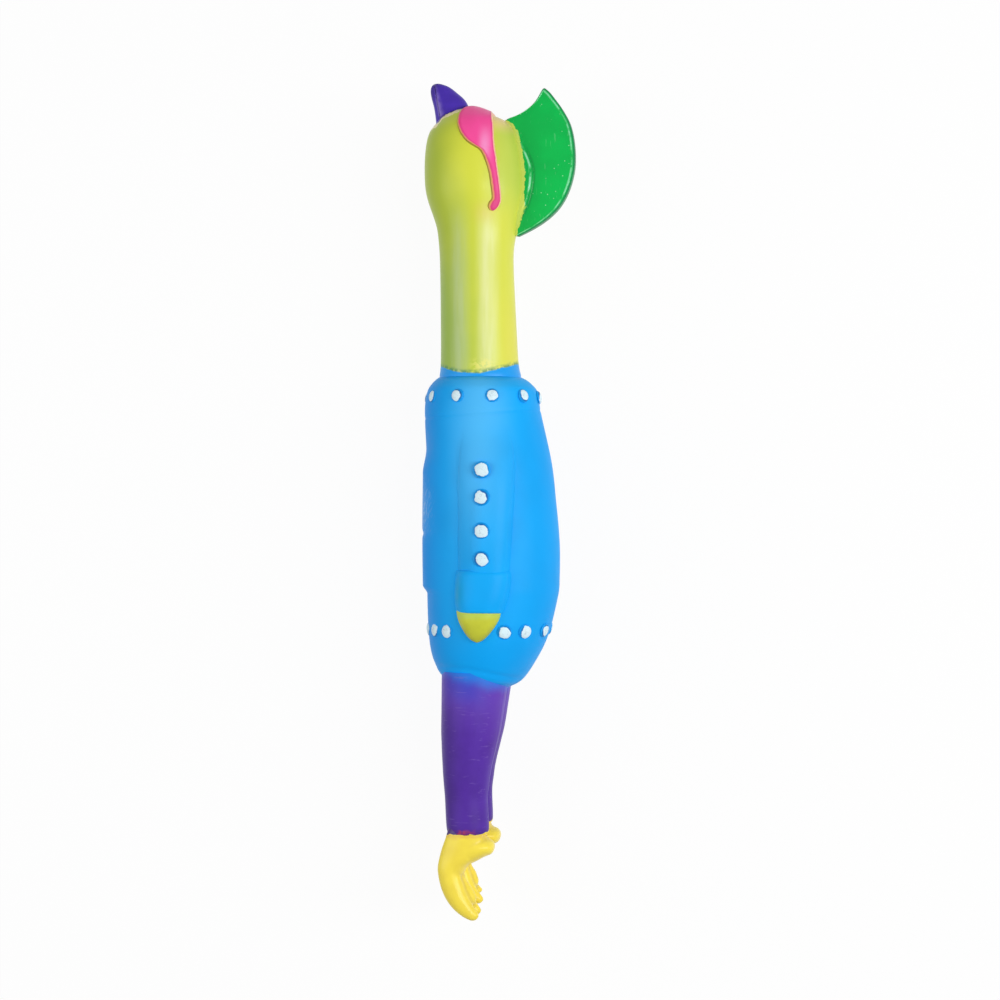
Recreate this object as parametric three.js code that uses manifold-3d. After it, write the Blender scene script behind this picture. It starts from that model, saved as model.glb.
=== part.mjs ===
// A squeaky vinyl chicken in a studded jacket, trousers and sunglasses, in millimetres.
// It lies on its right side on a floor: +Y runs from the toes to the beak, +X to the
// chicken's back, and +Z straight up, to its left side. The soft skin is drawn in the
// zones that its colours and bends give, each zone a solid of its own. It bends at the
// neck, hips and ankles, where one zone ends in a dome and the next in a cup around it,
// and the left flank travels inwards when the toy is squeezed.
import * as THREE from 'three';
import { mergeVertices } from 'three/addons/utils/BufferGeometryUtils.js';
import Module from 'manifold-3d';

const wasm = await Module();
wasm.setup();

// Fits
const clearance = 0.3; // gap between two pieces that meet
const overrun = 6; // how far a cutting shape runs past what it cuts
const weld = 0.0005; // vertices closer than this are one

// Skin
const skinWall = 2;
const airHole = 5; // diameter of the passages between head, body and legs

// Lengths along the toy
const footLength = 41.4;
const trouserLength = 68.5;
const jacketLength = 151.9;
const neckLength = 63.2;
const headLength = 64;

const hemLevel = footLength;
const seatLevel = hemLevel + trouserLength;
const collarLevel = seatLevel + jacketLength;
const throatLevel = collarLevel + neckLength;
const crownLevel = throatLevel + headLength;

// Jacket
const jacketDepth = 65.8;
const jacketWidth = 58.6;
// Height, front, back, side and how much higher the front of the ring is than its back,
// as shares of the jacket's length, depth, depth, half width and length.
const jacketShares = [
  [0, 0.15, 0.156, 0.41, 0.02],
  [0.013, 0.24, 0.233, 0.62, 0.018],
  [0.038, 0.302, 0.31, 0.76, 0.012],
  [0.1, 0.355, 0.402, 0.88, 0],
  [0.18, 0.385, 0.485, 0.955, 0],
  [0.285, 0.396, 0.546, 0.99, 0],
  [0.335, 0.399, 0.56, 1, 0],
  [0.46, 0.404, 0.563, 1, 0],
  [0.6, 0.402, 0.535, 0.993, 0],
  [0.72, 0.4, 0.5, 0.975, 0],
  [0.86, 0.413, 0.427, 0.932, 0],
  [0.93, 0.397, 0.398, 0.893, 0],
  [0.965, 0.358, 0.346, 0.8, 0],
  [0.985, 0.326, 0.298, 0.69, 0],
  [1, 0.309, 0.278, 0.63, 0],
];

// The raised strip down the jacket's front, where it closes
const stripRise = 2.1;
const stripWidth = 37;
const stripLowShare = 0.318; // of the jacket's length
const stripHighShare = 0.715;

// Neck and head
const neckDepth = 35.9;
const neckWidth = 34.4;
const headDepth = 48.4;
const headWidth = 43;
const spigotDepth = 8; // how far the neck reaches down inside the collar
const neckAxisShare = -0.0545; // of the neck's depth: where it turns, from the toy's axis
const neckPivotShare = 0.37; // of the neck's length: where it turns, up from the collar
const neckDomeGrow = 2.4; // how much wider than the neck the dome's ball is
// Height, front, back and side of each ring of the neck, as shares of its own sizes.
const neckShares = [
  [-0.2, 0.554, 0.488, 1],
  [0, 0.554, 0.486, 1],
  [0.25, 0.554, 0.466, 1],
  [0.55, 0.558, 0.439, 1],
  [0.85, 0.568, 0.419, 1],
];
// The same for the head, as shares of the head's sizes.
const headShares = [
  [0, 0.435, 0.329, 0.8],
  [0.1, 0.455, 0.357, 0.83],
  [0.21, 0.503, 0.397, 0.89],
  [0.34, 0.556, 0.426, 0.97],
  [0.47, 0.573, 0.427, 1],
  [0.6, 0.572, 0.41, 0.995],
  [0.72, 0.556, 0.378, 0.945],
  [0.81, 0.52, 0.33, 0.86],
  [0.865, 0.465, 0.262, 0.76],
  [0.902, 0.43, 0.15, 0.64],
  [0.935, 0.385, 0.06, 0.52],
  [0.96, 0.32, 0, 0.38],
  [0.977, 0.24, -0.07, 0.18],
];

// Beak, hooked forwards at its tip
const beakLength = 18.2;
const beakWidth = 13.4;
const beakRootShare = [-0.286, 0.921]; // of the head's depth and length
// Front point, back point and side of each ring, from the root to the tip, as shares of
// the beak's length, length and half width.
const beakShares = [
  [-0.45, -0.42, 0.56, -0.06, 1],
  [-0.525, 0.12, 0.38, 0.41, 0.92],
  [-0.585, 0.4, 0.19, 0.61, 0.76],
  [-0.64, 0.6, 0, 0.74, 0.57],
  [-0.635, 0.77, -0.19, 0.845, 0.38],
  [-0.56, 0.86, -0.39, 0.885, 0.17],
];
const mouthTipShare = [-0.49, 0.8]; // of the beak's length
const mouthRootShare = [-0.29, -0.2];

// Comb, a thick upright plate down the back of the head
const combHeight = 72.6;
const combReach = 31.2;
const combThickness = 7.6;
const combRootWidth = 12.5;
const combSquare = 5; // how boxy the plate is across, 2 being an ellipse
const combRootShare = [0.28, 0.005]; // of the head's depth and length
// Front point, back point and thickness of each ring from the foot to the tip, as shares
// of the comb's reach, its height and its thickness.
const combShares = [
  [-0.06, 0.03, 0.14, 0.012, 0.6],
  [-0.12, 0.1, 0.43, 0.076, 0.9],
  [-0.16, 0.19, 0.69, 0.16, 1],
  [-0.18, 0.3, 0.875, 0.27, 1],
  [-0.19, 0.42, 0.985, 0.41, 1],
  [-0.19, 0.54, 1.01, 0.53, 1],
  [-0.17, 0.65, 0.99, 0.64, 1],
  [-0.14, 0.735, 0.94, 0.735, 1],
  [-0.06, 0.787, 0.875, 0.805, 0.97],
  [0.05, 0.81, 0.805, 0.867, 0.92],
  [0.225, 0.863, 0.73, 0.921, 0.85],
  [0.36, 0.918, 0.645, 0.967, 0.75],
  [0.46, 0.978, 0.56, 0.998, 0.5],
];
// The thick root that swells out on to the head: height, front, back, side.
const combSwellShares = [
  [0.03, 0, 0.13, 0.3],
  [0.12, -0.02, 0.24, 0.6],
  [0.3, -0.1, 0.33, 0.92],
  [0.5, -0.1, 0.36, 1],
  [0.68, -0.02, 0.29, 0.85],
  [0.78, 0.1, 0.12, 0.4],
];

// Sunglasses, moulded as a low relief round the head
const glassesRise = 1.9;
const noseNotchWidth = 14; // of the round gap between the lenses
const noseNotchShare = 0.2; // of the head's depth: how far forward it lies
// Height, front and back of the lens and of the temple, as shares of the head's length
// from its throat, and of its depth.
const lensShares = [
  [1.04, 0.1, 0.03],
  [0.992, 0.132, -0.02],
  [0.942, 0.187, -0.113],
  [0.866, 0.2, -0.159],
  [0.81, 0.176, -0.168],
  [0.733, 0.099, -0.176],
  [0.69, 0.01, -0.185],
];
const templeShares = [
  [0.683, -0.015, -0.19],
  [0.628, -0.073, -0.203],
  [0.513, -0.126, -0.226],
  [0.389, -0.151, -0.252],
  [0.31, -0.126, -0.254],
  [0.273, -0.12, -0.226],
  [0.217, -0.163, -0.175],
];

// Arms, moulded on the sides of the jacket
const armWidth = 27.4;
const armReach = 36; // from the middle of the toy to the flat outer side of the arm
const armCentre = 21; // from the middle of the toy to the middle of the arm's rings
const armTopShare = 0.82; // of the jacket's length
const handTipRise = 23.5; // from the jacket's lowest point up to the tip of the hand
const armLength = armTopShare * jacketLength - handTipRise;
const armSetShare = 0.073; // of the jacket's depth, back from the toy's axis
const studProud = 1.1;
const armSquare = 3; // how boxy the arm is across, 2 being an ellipse
const sleeveReach = armReach - studProud - clearance - armCentre;
const cuffReach = armReach - armCentre;
// Height down the arm as a share of its length, half width and how far back it leans as
// shares of its width, and how far it stands out from its centre as a share of the reach
// above that fits it.
const sleeveShares = [
  [0, 0.16, 0.03, 0.6],
  [0.06, 0.36, 0.045, 0.88],
  [0.13, 0.45, 0.05, 1],
  [0.25, 0.485, 0.045, 1],
  [0.36, 0.485, 0.04, 1],
  [0.52, 0.47, 0.025, 1],
  [0.668, 0.45, 0.01, 1],
];
const cuffShares = [
  [0.677, 0.485, 0, 1.01],
  [0.725, 0.495, -0.01, 1.034],
  [0.79, 0.475, -0.035, 1.01],
  [0.855, 0.405, -0.06, 0.93],
];
const handShares = [
  [0.863, 0.375, -0.06, 0.9],
  [0.9, 0.35, -0.065, 0.87],
  [0.95, 0.26, -0.075, 0.79],
  [0.98, 0.17, -0.08, 0.71],
  [1, 0.07, -0.08, 0.64],
];
const sleeveStudShares = [0.2, 0.327, 0.48, 0.61]; // down the arm
const panelMargin = 2; // how far the squeezed panel reaches round the arm
const panelRootShare = 0.5; // of armCentre: where the panel's edges start

// Studs
const sleeveStudWidth = 6.6;
const collarStudWidth = 5.4;
const hemStudWidth = 5.8;
const seamStudHeight = 1.1;
// Half width and height of a stud's outline, as shares of its own.
const studShares = [[1, 0], [0.88, 0.6], [0.52, 1]];
const collarStudCount = 10;
const collarRowDrop = 12.5; // from the collar's upper edge down to its row
const hemRowRise = 5; // from the tip of the hand up to the hem's row
// Angles of the hem studs round each side, from the front, as shares of a half turn.
const hemStudShares = [0.07, 0.198, 0.302, 0.622, 0.74, 0.893];

// Trousers and hips
const legDepth = 31.6;
const legWidth = 23.4; // from the middle of the toy to the outer side of a leg
const legGap = 1.2; // between the two legs
const rightLegLift = 2.7; // how much shorter the right leg is moulded
const legSquare = 2.1; // how boxy a leg is across, 2 being an ellipse
const legPassageShare = 0.125; // of the jacket's length: how far up a leg's air hole runs
// Height, front, back, outer side and centre of each ring from the hem up, as shares of
// the trousers' length and of the leg's depth, depth, width and width. The rings run on
// to the other leg's side, and the gap cuts them off.
const legShares = [
  [0, 0.455, 0.121, 0.79, 0.415],
  [0.055, 0.49, 0.148, 0.825, 0.42],
  [0.23, 0.51, 0.13, 0.82, 0.42],
  [0.34, 0.53, 0.148, 0.845, 0.41],
  [0.46, 0.55, 0.185, 0.88, 0.38],
  [0.66, 0.575, 0.285, 0.935, 0.32],
  [0.83, 0.58, 0.35, 0.975, 0.28],
  [1.13, 0.575, 0.44, 1, 0.25],
];
const legAxisShare = -0.08; // of the leg's depth: the hip is this far forward
const legCentreShare = 0.43; // of the leg's width: the hip is this far out
const hipDrop = 5.2; // from the jacket's lowest point down to the hip's centre
const hipRadius = 18.4; // more than any point of the leg lies from the hip at its height
const ankleRise = 8; // from the hem up to the ankle's centre
const ankleRadius = 12.1;

// Feet: rings from low to high, each with a front point, a back point and a side, as
// shares of the foot's length, length and of the foot's half width.
const footWidth = 18;
const toeWidth = 8;
const palmShares = [
  [-0.455, 0.5, -0.17, 0.56, 0.9],
  [-0.46, 0.62, -0.115, 0.65, 1],
  [-0.443, 0.745, 0, 0.73, 1],
  [-0.4, 0.887, 0.09, 0.86, 0.98],
  [-0.35, 1, 0.11, 1.02, 0.96],
  [-0.335, 1.12, 0.12, 1.12, 0.94],
];
const outerToeShares = [
  [-0.06, 0.039, 0.007, 0.101, 0.45],
  [-0.181, 0.075, -0.048, 0.193, 0.8],
  [-0.314, 0.193, -0.121, 0.326, 0.97],
  [-0.415, 0.374, -0.169, 0.454, 1],
  [-0.461, 0.58, -0.208, 0.592, 1],
  [-0.442, 0.761, -0.193, 0.725, 0.9],
];
const middleToeShares = [
  [-0.08, 0.222, -0.03, 0.26, 0.5],
  [-0.2, 0.29, -0.035, 0.374, 0.85],
  [-0.32, 0.423, -0.07, 0.473, 1],
  [-0.38, 0.58, -0.12, 0.57, 1],
  [-0.36, 0.75, -0.13, 0.7, 0.9],
];
const hindToeShares = [
  [-0.08, 0.98, -0.08, 0.7, 0.8],
  [0.07, 0.96, 0.08, 0.755, 0.66],
  [0.14, 0.94, 0.145, 0.785, 0.46],
  [0.178, 0.9, 0.18, 0.84, 0.22],
];

// Squeaker, pushed in through the jacket's back, towards its right side
const flangeWidth = 13;
const flangeThickness = 1.2;
const barrelWidth = 10;
const barrelLength = 9.5;
const barrelBore = 7.4;
const soundHole = 3;
const seatBoss = 1.6; // thickening inside the skin round the squeaker
const capThickness = 1.5;
const capHole = 2.4;
const barbRise = 0.8;
const barbLength = 1.6;
const reedThickness = 0.35;
const reedWidth = 3;
const reedLength = 6;
const reedRootLength = 1.5; // the end that the reed is held by
const reedChannelWidth = 1.5; // of the air channel under the reed
const reedChannelDepth = 1;
const seatFlatDrop = 0.6; // from the squeaker's axis down to the reed's flat seat
const squeakerLevelShare = 0.335; // of the jacket's length
const squeakerTurnShare = 0.078; // of a turn, from straight back towards the right side

// Makes a closed solid of a geometry.
function solid(geometry) {
  const bare = geometry.clone();
  bare.deleteAttribute('normal');
  bare.deleteAttribute('uv');
  const merged = mergeVertices(bare, weld);
  return new wasm.Manifold(
    new wasm.Mesh({
      numProp: 3,
      vertProperties: new Float32Array(merged.attributes.position.array),
      triVerts: new Uint32Array(merged.index.array),
    }),
  );
}

// Makes a geometry of a solid.
function geometryOf(body) {
  const made = body.getMesh();
  const geometry = new THREE.BufferGeometry();
  const places = new Float32Array(made.numVert * 3);
  for (let i = 0; i < made.numVert; i += 1) {
    places.set(made.vertProperties.subarray(i * made.numProp, i * made.numProp + 3), i * 3);
  }
  geometry.setAttribute('position', new THREE.BufferAttribute(places, 3));
  geometry.setIndex(new THREE.BufferAttribute(new Uint32Array(made.triVerts), 1));
  geometry.computeVertexNormals();
  return geometry;
}

const slopeShare = 0.01; // step along a skin and round it, to find its slope
const endShare = 0.02; // step along a skin, to find the way that its ends face
const levelSteps = 30; // halvings that find a height on a skin

// A row of rings. Each station gives a ring's front and back points, and how far it
// reaches to either side of its centre. A square of 2 is an ellipse, more is boxier.
function skinOf(stations, square = 2) {
  const rail = (pick) => new THREE.CatmullRomCurve3(stations.map(pick));
  return {
    front: rail((s) => new THREE.Vector3(s.front[0], s.front[1], 0)),
    back: rail((s) => new THREE.Vector3(s.back[0], s.back[1], 0)),
    side: rail((s) => new THREE.Vector3(s.centre ?? 0, s.half, 0)),
    square,
  };
}

// The point of a skin at share t of its length and an angle from straight back towards
// the left side, moved outwards by grow.
function skinPoint(skin, t, angle, grow = 0) {
  const front = skin.front.getPoint(t);
  const back = skin.back.getPoint(t);
  const side = skin.side.getPoint(t);
  const reach = back.clone().sub(front).divideScalar(2);
  reach.setLength(reach.length() + grow);
  const bend = (value) => Math.sign(value) * Math.abs(value) ** (2 / skin.square);
  const point = front.add(back).divideScalar(2);
  point.addScaledVector(reach, bend(Math.cos(angle)));
  point.z = side.x + (side.y + grow) * bend(Math.sin(angle));
  return point;
}

// The outward direction of a skin there.
function skinNormal(skin, t, angle) {
  const along = skinPoint(skin, Math.min(t + slopeShare, 1), angle).sub(
    skinPoint(skin, Math.max(t - slopeShare, 0), angle),
  );
  const round = skinPoint(skin, t, angle + slopeShare).sub(skinPoint(skin, t, angle - slopeShare));
  return along.cross(round).normalize();
}

// The share of a level skin's length at which its rings reach a height.
function shareAtLevel(skin, level) {
  let low = 0;
  let high = 1;
  for (let i = 0; i < levelSteps; i += 1) {
    const middle = (low + high) / 2;
    if (skin.front.getPoint(middle).y + skin.back.getPoint(middle).y < 2 * level) low = middle;
    else high = middle;
  }
  return (low + high) / 2;
}

// Fills a skin as a closed solid, moved outwards by grow, its ends moved along too.
function fill(skin, sides, rings, grow = 0) {
  const places = [];
  const faces = [];
  const middle = (t) => skin.front.getPoint(t).add(skin.back.getPoint(t)).divideScalar(2);
  const startWay = middle(0).sub(middle(endShare)).setLength(grow);
  const endWay = middle(1).sub(middle(1 - endShare)).setLength(grow);
  for (let k = 0; k <= rings; k += 1) {
    const way = new THREE.Vector3();
    if (k === 0) way.copy(startWay);
    if (k === rings) way.copy(endWay);
    for (let j = 0; j < sides; j += 1) {
      const point = skinPoint(skin, k / rings, (j / sides) * Math.PI * 2, grow).add(way);
      places.push(point.x, point.y, point.z);
    }
  }
  for (let k = 0; k < rings; k += 1) {
    for (let j = 0; j < sides; j += 1) {
      const a = k * sides + j;
      const d = k * sides + ((j + 1) % sides);
      faces.push(a, a + sides, d + sides, a, d + sides, d);
    }
  }
  const last = rings * sides;
  for (let j = 1; j < sides - 1; j += 1) {
    faces.push(0, j, j + 1, last, last + j + 1, last + j);
  }
  const geometry = new THREE.BufferGeometry();
  geometry.setAttribute('position', new THREE.Float32BufferAttribute(places, 3));
  geometry.setIndex(faces);
  return solid(geometry);
}

// Level rings from rows of height, front, back and side shares, and any rise of the front.
function levelStations(rows, low, length, depth, width, axis = 0) {
  return rows.map(([rise, front, back, side, tilt = 0]) => ({
    front: [axis - front * depth, low + (rise + tilt) * length],
    back: [axis + back * depth, low + rise * length],
    half: (side * width) / 2,
  }));
}

// Tilted rings from rows of front point, back point and side shares.
function tiltedStations(rows, origin, scale, width, centre = 0) {
  return rows.map(([frontX, frontY, backX, backY, side]) => ({
    front: [origin.x + frontX * scale, origin.y + frontY * scale],
    back: [origin.x + backX * scale, origin.y + backY * scale],
    half: (side * width) / 2,
    centre,
  }));
}

const ballAcross = 24; // faces round a ball
const ballDown = 16; // faces from its top to its bottom
function ball(centre, radius) {
  const geometry = new THREE.SphereGeometry(radius, ballAcross, ballDown);
  return solid(geometry.translate(centre.x, centre.y, centre.z));
}

// The hollow of a cup: even the middles of its flat faces lie at the radius or beyond.
function cupHollow(centre, radius) {
  const flatness = Math.cos(Math.PI / ballAcross) * Math.cos(Math.PI / (2 * ballDown));
  return ball(centre, radius / flatness);
}

function box(low, high) {
  const size = high.clone().sub(low);
  const middle = high.clone().add(low).divideScalar(2);
  const geometry = new THREE.BoxGeometry(size.x, size.y, size.z);
  return solid(geometry.translate(middle.x, middle.y, middle.z));
}

// A rod along Y from one height to another.
function rod(x, z, low, high, width, sides = 16) {
  const geometry = new THREE.CylinderGeometry(width / 2, width / 2, high - low, sides);
  return solid(geometry.translate(x, (low + high) / 2, z));
}

// Everything between two heights.
function slab(low, high) {
  const wide = jacketDepth + jacketWidth;
  return box(new THREE.Vector3(-wide, low, -wide), new THREE.Vector3(wide, high, wide));
}

const bottomEnd = -overrun;
const topEnd = crownLevel + beakLength + overrun;
const pin = (x, y, z = 0) => new THREE.Vector3(x, y, z);

// Materials
const paint = (color, roughness) =>
  new THREE.MeshStandardMaterial({ color, roughness, metalness: 0 });
const vinylYellowGreen = paint(0xcfdc62, 0.42);
const vinylBlue = paint(0x29a6f5, 0.45);
const vinylPurple = paint(0x5a35a0, 0.42);
const vinylYellow = paint(0xf8e04c, 0.4);
const paintGreen = paint(0x10b853, 0.28);
const paintPink = paint(0xf757a0, 0.35);
const paintBeak = paint(0x4d35a4, 0.35);
const paintWhite = paint(0xe2f3f5, 0.5);
const paintHand = paint(0xc0c848, 0.42);
const plasticWhite = paint(0xf2f2ee, 0.4);
const plasticReed = paint(0xd8dcd8, 0.35);

// The whole toy, in which each body that moves is a group at its own pivot
const toy = new THREE.Group();

// Adds a solid, drawn in the toy's own axes, to the toy or to one of its pivots.
function add(name, body, material, parent = toy) {
  const geometry = geometryOf(body);
  const offset = parent.userData.origin ?? new THREE.Vector3();
  geometry.translate(-offset.x, -offset.y, -offset.z);
  const mesh = new THREE.Mesh(geometry, material);
  mesh.name = name;
  parent.add(mesh);
  return mesh;
}

// A group for a body that moves, its pivot given in the toy's own axes.
function movingGroup(name, place, parent = toy) {
  const origin = parent.userData.origin ?? new THREE.Vector3();
  const group = new THREE.Group();
  group.position.copy(place).sub(origin);
  group.name = name;
  group.userData.origin = place.clone();
  parent.add(group);
  return group;
}

// Skins
const jacketSkin = skinOf(
  levelStations(jacketShares, seatLevel, jacketLength, jacketDepth, jacketWidth),
);
const headSkin = skinOf([
  ...levelStations(neckShares, collarLevel, neckLength, neckDepth, neckWidth),
  ...levelStations(headShares, throatLevel, headLength, headDepth, headWidth),
]);

function armStations(rows, side, reach) {
  return rows
    .map(([drop, half, lean, stand]) => {
      const level = seatLevel + armTopShare * jacketLength - drop * armLength;
      const axis = armSetShare * jacketDepth + lean * armWidth;
      return {
        front: [axis - half * armWidth, level],
        back: [axis + half * armWidth, level],
        half: stand * reach,
        centre: side * armCentre,
      };
    })
    .reverse();
}

// Neck joint: the lower neck ends in a dome, and the head's tube in a cup around it.
const neckPivot = pin(neckAxisShare * neckDepth, collarLevel + neckPivotShare * neckLength);
const neckBall = neckDepth / 2 + neckDomeGrow;
const headGroup = movingGroup('head_pivot', neckPivot);

const headSides = 20;
const headRings = 20;
const hollowSides = 14;
const hollowRings = 10;
const headFill = fill(headSkin, headSides, headRings);
const headHollow = fill(headSkin, hollowSides, hollowRings, -skinWall);
const aboveNeckPivot = slab(neckPivot.y, topEnd);
const belowNeckPivot = slab(bottomEnd, neckPivot.y);
const headBody = headFill
  .intersect(aboveNeckPivot)
  .subtract(cupHollow(neckPivot, neckBall + clearance))
  .subtract(headHollow);
const neckDome = headFill
  .intersect(slab(collarLevel + clearance, topEnd))
  .intersect(belowNeckPivot.add(ball(neckPivot, neckBall)));
const neckDomeHollow = headHollow.intersect(
  belowNeckPivot.add(ball(neckPivot, neckBall - skinWall)),
);
const spigotWall = skinWall + clearance;
const spigot = fill(headSkin, hollowSides, hollowRings, -spigotWall).intersect(
  slab(collarLevel - spigotDepth, collarLevel + skinWall),
);
const spigotBore = fill(headSkin, hollowSides, hollowRings, -spigotWall - skinWall).intersect(
  slab(bottomEnd, collarLevel + skinWall + clearance),
);
const neckBody = neckDome
  .subtract(neckDomeHollow.intersect(slab(collarLevel + skinWall, topEnd)))
  .add(spigot)
  .subtract(spigotBore)
  .subtract(rod(neckPivot.x, 0, neckPivot.y, topEnd, airHole));

// Comb
const combRoot = pin(combRootShare[0] * headDepth, throatLevel + combRootShare[1] * headLength);
const combPoint = (x, y) => [combRoot.x + x * combReach, combRoot.y + y * combHeight];
const combStations = combShares.map(([frontX, frontY, backX, backY, side]) => ({
  front: combPoint(frontX, frontY),
  back: combPoint(backX, backY),
  half: (side * combThickness) / 2,
}));
const combPlate = fill(skinOf(combStations, combSquare), 12, 18);
const combSwellStations = levelStations(
  combSwellShares,
  combRoot.y,
  combHeight,
  combReach,
  combRootWidth,
  combRoot.x,
);
const combSwell = fill(skinOf(combSwellStations), 10, 8);
const headKeepOut = fill(headSkin, headSides, headRings, clearance);
const combBody = combPlate.add(combSwell).subtract(headKeepOut);

// Beak, parted along the mouth
const beakRoot = pin(beakRootShare[0] * headDepth, throatLevel + beakRootShare[1] * headLength);
const beakFill = fill(
  skinOf(tiltedStations(beakShares, beakRoot, beakLength, beakWidth)),
  12,
  8,
).subtract(headKeepOut);
const mouthAt = ([x, y]) =>
  new THREE.Vector2(beakRoot.x + x * beakLength, beakRoot.y + y * beakLength);
// Everything on one side of the mouth, a gap away from it.
function mouthHalf(side, gap) {
  const tip = mouthAt(mouthTipShare);
  const root = mouthAt(mouthRootShare);
  const along = tip.clone().sub(root).setLength(beakLength);
  const across = new THREE.Vector2(along.y, -along.x).setLength(side * gap);
  const start = root.clone().sub(along).add(across);
  const end = tip.clone().add(along).add(across);
  const far = new THREE.Vector2(along.y, -along.x).setLength(side * 2 * beakLength);
  const corners = [start, end, end.clone().add(far), start.clone().add(far)];
  return prism(new THREE.Shape(corners), -beakWidth, beakWidth);
}
const upperBeakBody = beakFill.intersect(mouthHalf(1, clearance / 2));
const lowerBeakBody = beakFill.intersect(mouthHalf(-1, clearance / 2));

// Sunglasses
function sideOutline(rows) {
  const place = (rise, x) =>
    new THREE.Vector2(-x * headDepth, throatLevel + rise * headLength);
  const front = new THREE.SplineCurve(rows.map(([rise, x]) => place(rise, x)));
  const back = new THREE.SplineCurve(rows.map(([rise, , x]) => place(rise, x)));
  const steps = rows.length * 2;
  return new THREE.Shape([...front.getPoints(steps), ...back.getPoints(steps).reverse()]);
}
// A side outline filled from one depth to another.
function prism(shape, low, high) {
  const geometry = new THREE.ExtrudeGeometry(shape, { depth: high - low, bevelEnabled: false });
  return solid(geometry.translate(0, 0, low));
}
const reliefShell = fill(headSkin, headSides, headRings, glassesRise).subtract(headKeepOut);
const lensPrism = prism(sideOutline(lensShares), -headWidth, headWidth);
const notch = rod(-noseNotchShare * headDepth, 0, throatLevel, topEnd, noseNotchWidth, 20);
const lensBody = reliefShell
  .intersect(lensPrism)
  .subtract(beakFill.hull())
  .subtract(notch);
const templeBody = (side) =>
  reliefShell.intersect(
    side > 0
      ? prism(sideOutline(templeShares), clearance, headWidth)
      : prism(sideOutline(templeShares), -headWidth, -clearance),
  );

// Jacket with its squeaker seat, leg passages and the opening of the squeezed panel
const jacketSides = 24;
const jacketRings = 18;
const jacketFill = fill(jacketSkin, jacketSides, jacketRings);
const jacketHollow = fill(jacketSkin, hollowSides, hollowRings, -skinWall);
const collarBore = jacketHollow.add(
  headHollow.intersect(slab(collarLevel - spigotDepth - overrun, collarLevel + overrun)),
);

// The arm's side outline, with a margin round it.
function armOutline(margin) {
  const rows = armStations([...sleeveShares, ...cuffShares, ...handShares], 1, cuffReach);
  const middleOf = (row, rise) =>
    new THREE.Vector2((row.front[0] + row.back[0]) / 2, row.front[1] + rise);
  const front = rows.map((row) => new THREE.Vector2(row.front[0] - margin, row.front[1]));
  const back = rows.map((row) => new THREE.Vector2(row.back[0] + margin, row.back[1]));
  const low = middleOf(rows[0], -margin);
  const high = middleOf(rows[rows.length - 1], margin);
  return new THREE.Shape([low, ...back, high, ...front.reverse()]);
}
const panelPrism = (margin) =>
  prism(armOutline(margin), panelRootShare * armCentre, armReach + overrun);

// The squeaker's own axes: +Y points out of the toy, level, and square to its skin.
const squeakerLevel = seatLevel + squeakerLevelShare * jacketLength;
const squeakerShare = shareAtLevel(jacketSkin, squeakerLevel);
const squeakerAngle = -squeakerTurnShare * 2 * Math.PI;
const squeakerSeatPoint = skinPoint(jacketSkin, squeakerShare, squeakerAngle);
const squeakerNormal = skinNormal(jacketSkin, squeakerShare, squeakerAngle);
const squeakerTurn = new THREE.Quaternion()
  .setFromAxisAngle(pin(0, 1), Math.atan2(-squeakerNormal.z, squeakerNormal.x))
  .multiply(new THREE.Quaternion().setFromUnitVectors(pin(0, 1), pin(1, 0)));
const inSqueakerFrame = (geometry) => {
  const placed = geometry.clone().applyQuaternion(squeakerTurn);
  return solid(placed.translate(...squeakerSeatPoint.toArray()));
};
// A shape of revolution, its outline given as distances from the axis and heights.
function turned(points, sides = 24) {
  return new THREE.LatheGeometry(points.map(([r, y]) => new THREE.Vector2(r, y)), sides);
}
const discOf = (width, low, high) =>
  turned([[0, low], [width / 2, low], [width / 2, high], [0, high]]);
const pocketFloor = -flangeThickness - clearance;
const bossFloor = pocketFloor - skinWall - seatBoss;
const seatBossFill = inSqueakerFrame(discOf(flangeWidth + 2 * skinWall, bossFloor, overrun));
const seatPocket = inSqueakerFrame(discOf(flangeWidth + 2 * clearance, pocketFloor, overrun));
const seatHole = inSqueakerFrame(
  discOf(barrelWidth + 2 * clearance, bossFloor - overrun, overrun),
);

const liftOf = (side) => (side > 0 ? 0 : rightLegLift);
const legStations = (side) =>
  legShares.map(([rise, front, back, outer, centre]) => {
    const level = hemLevel + liftOf(side) + rise * (trouserLength - liftOf(side));
    return {
      front: [-front * legDepth, level],
      back: [back * legDepth, level],
      half: (outer - centre) * legWidth,
      centre: side * centre * legWidth,
    };
  });
const legSide = (side, gap) =>
  side > 0
    ? box(pin(-jacketDepth, bottomEnd, gap), pin(jacketDepth, topEnd, jacketWidth))
    : box(pin(-jacketDepth, bottomEnd, -jacketWidth), pin(jacketDepth, topEnd, -gap));
const hipPivot = (side) =>
  pin(legAxisShare * legDepth, seatLevel - hipDrop, side * legCentreShare * legWidth);
const legHoleAt = (side) =>
  rod(
    hipPivot(side).x,
    hipPivot(side).z,
    hipPivot(side).y - hipRadius - overrun,
    seatLevel + legPassageShare * jacketLength,
    airHole,
  );

const jacketShell = jacketFill
  .subtract(collarBore)
  .add(seatBossFill.intersect(jacketFill))
  .subtract(seatPocket)
  .subtract(seatHole)
  .subtract(legHoleAt(1))
  .subtract(legHoleAt(-1));
const jacketBody = jacketShell.subtract(panelPrism(panelMargin + clearance));
const panelBody = jacketShell.intersect(panelPrism(panelMargin));
const jacketKeepOut = fill(jacketSkin, jacketSides, jacketRings, clearance);

add('jacket', jacketBody, vinylBlue);

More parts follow.
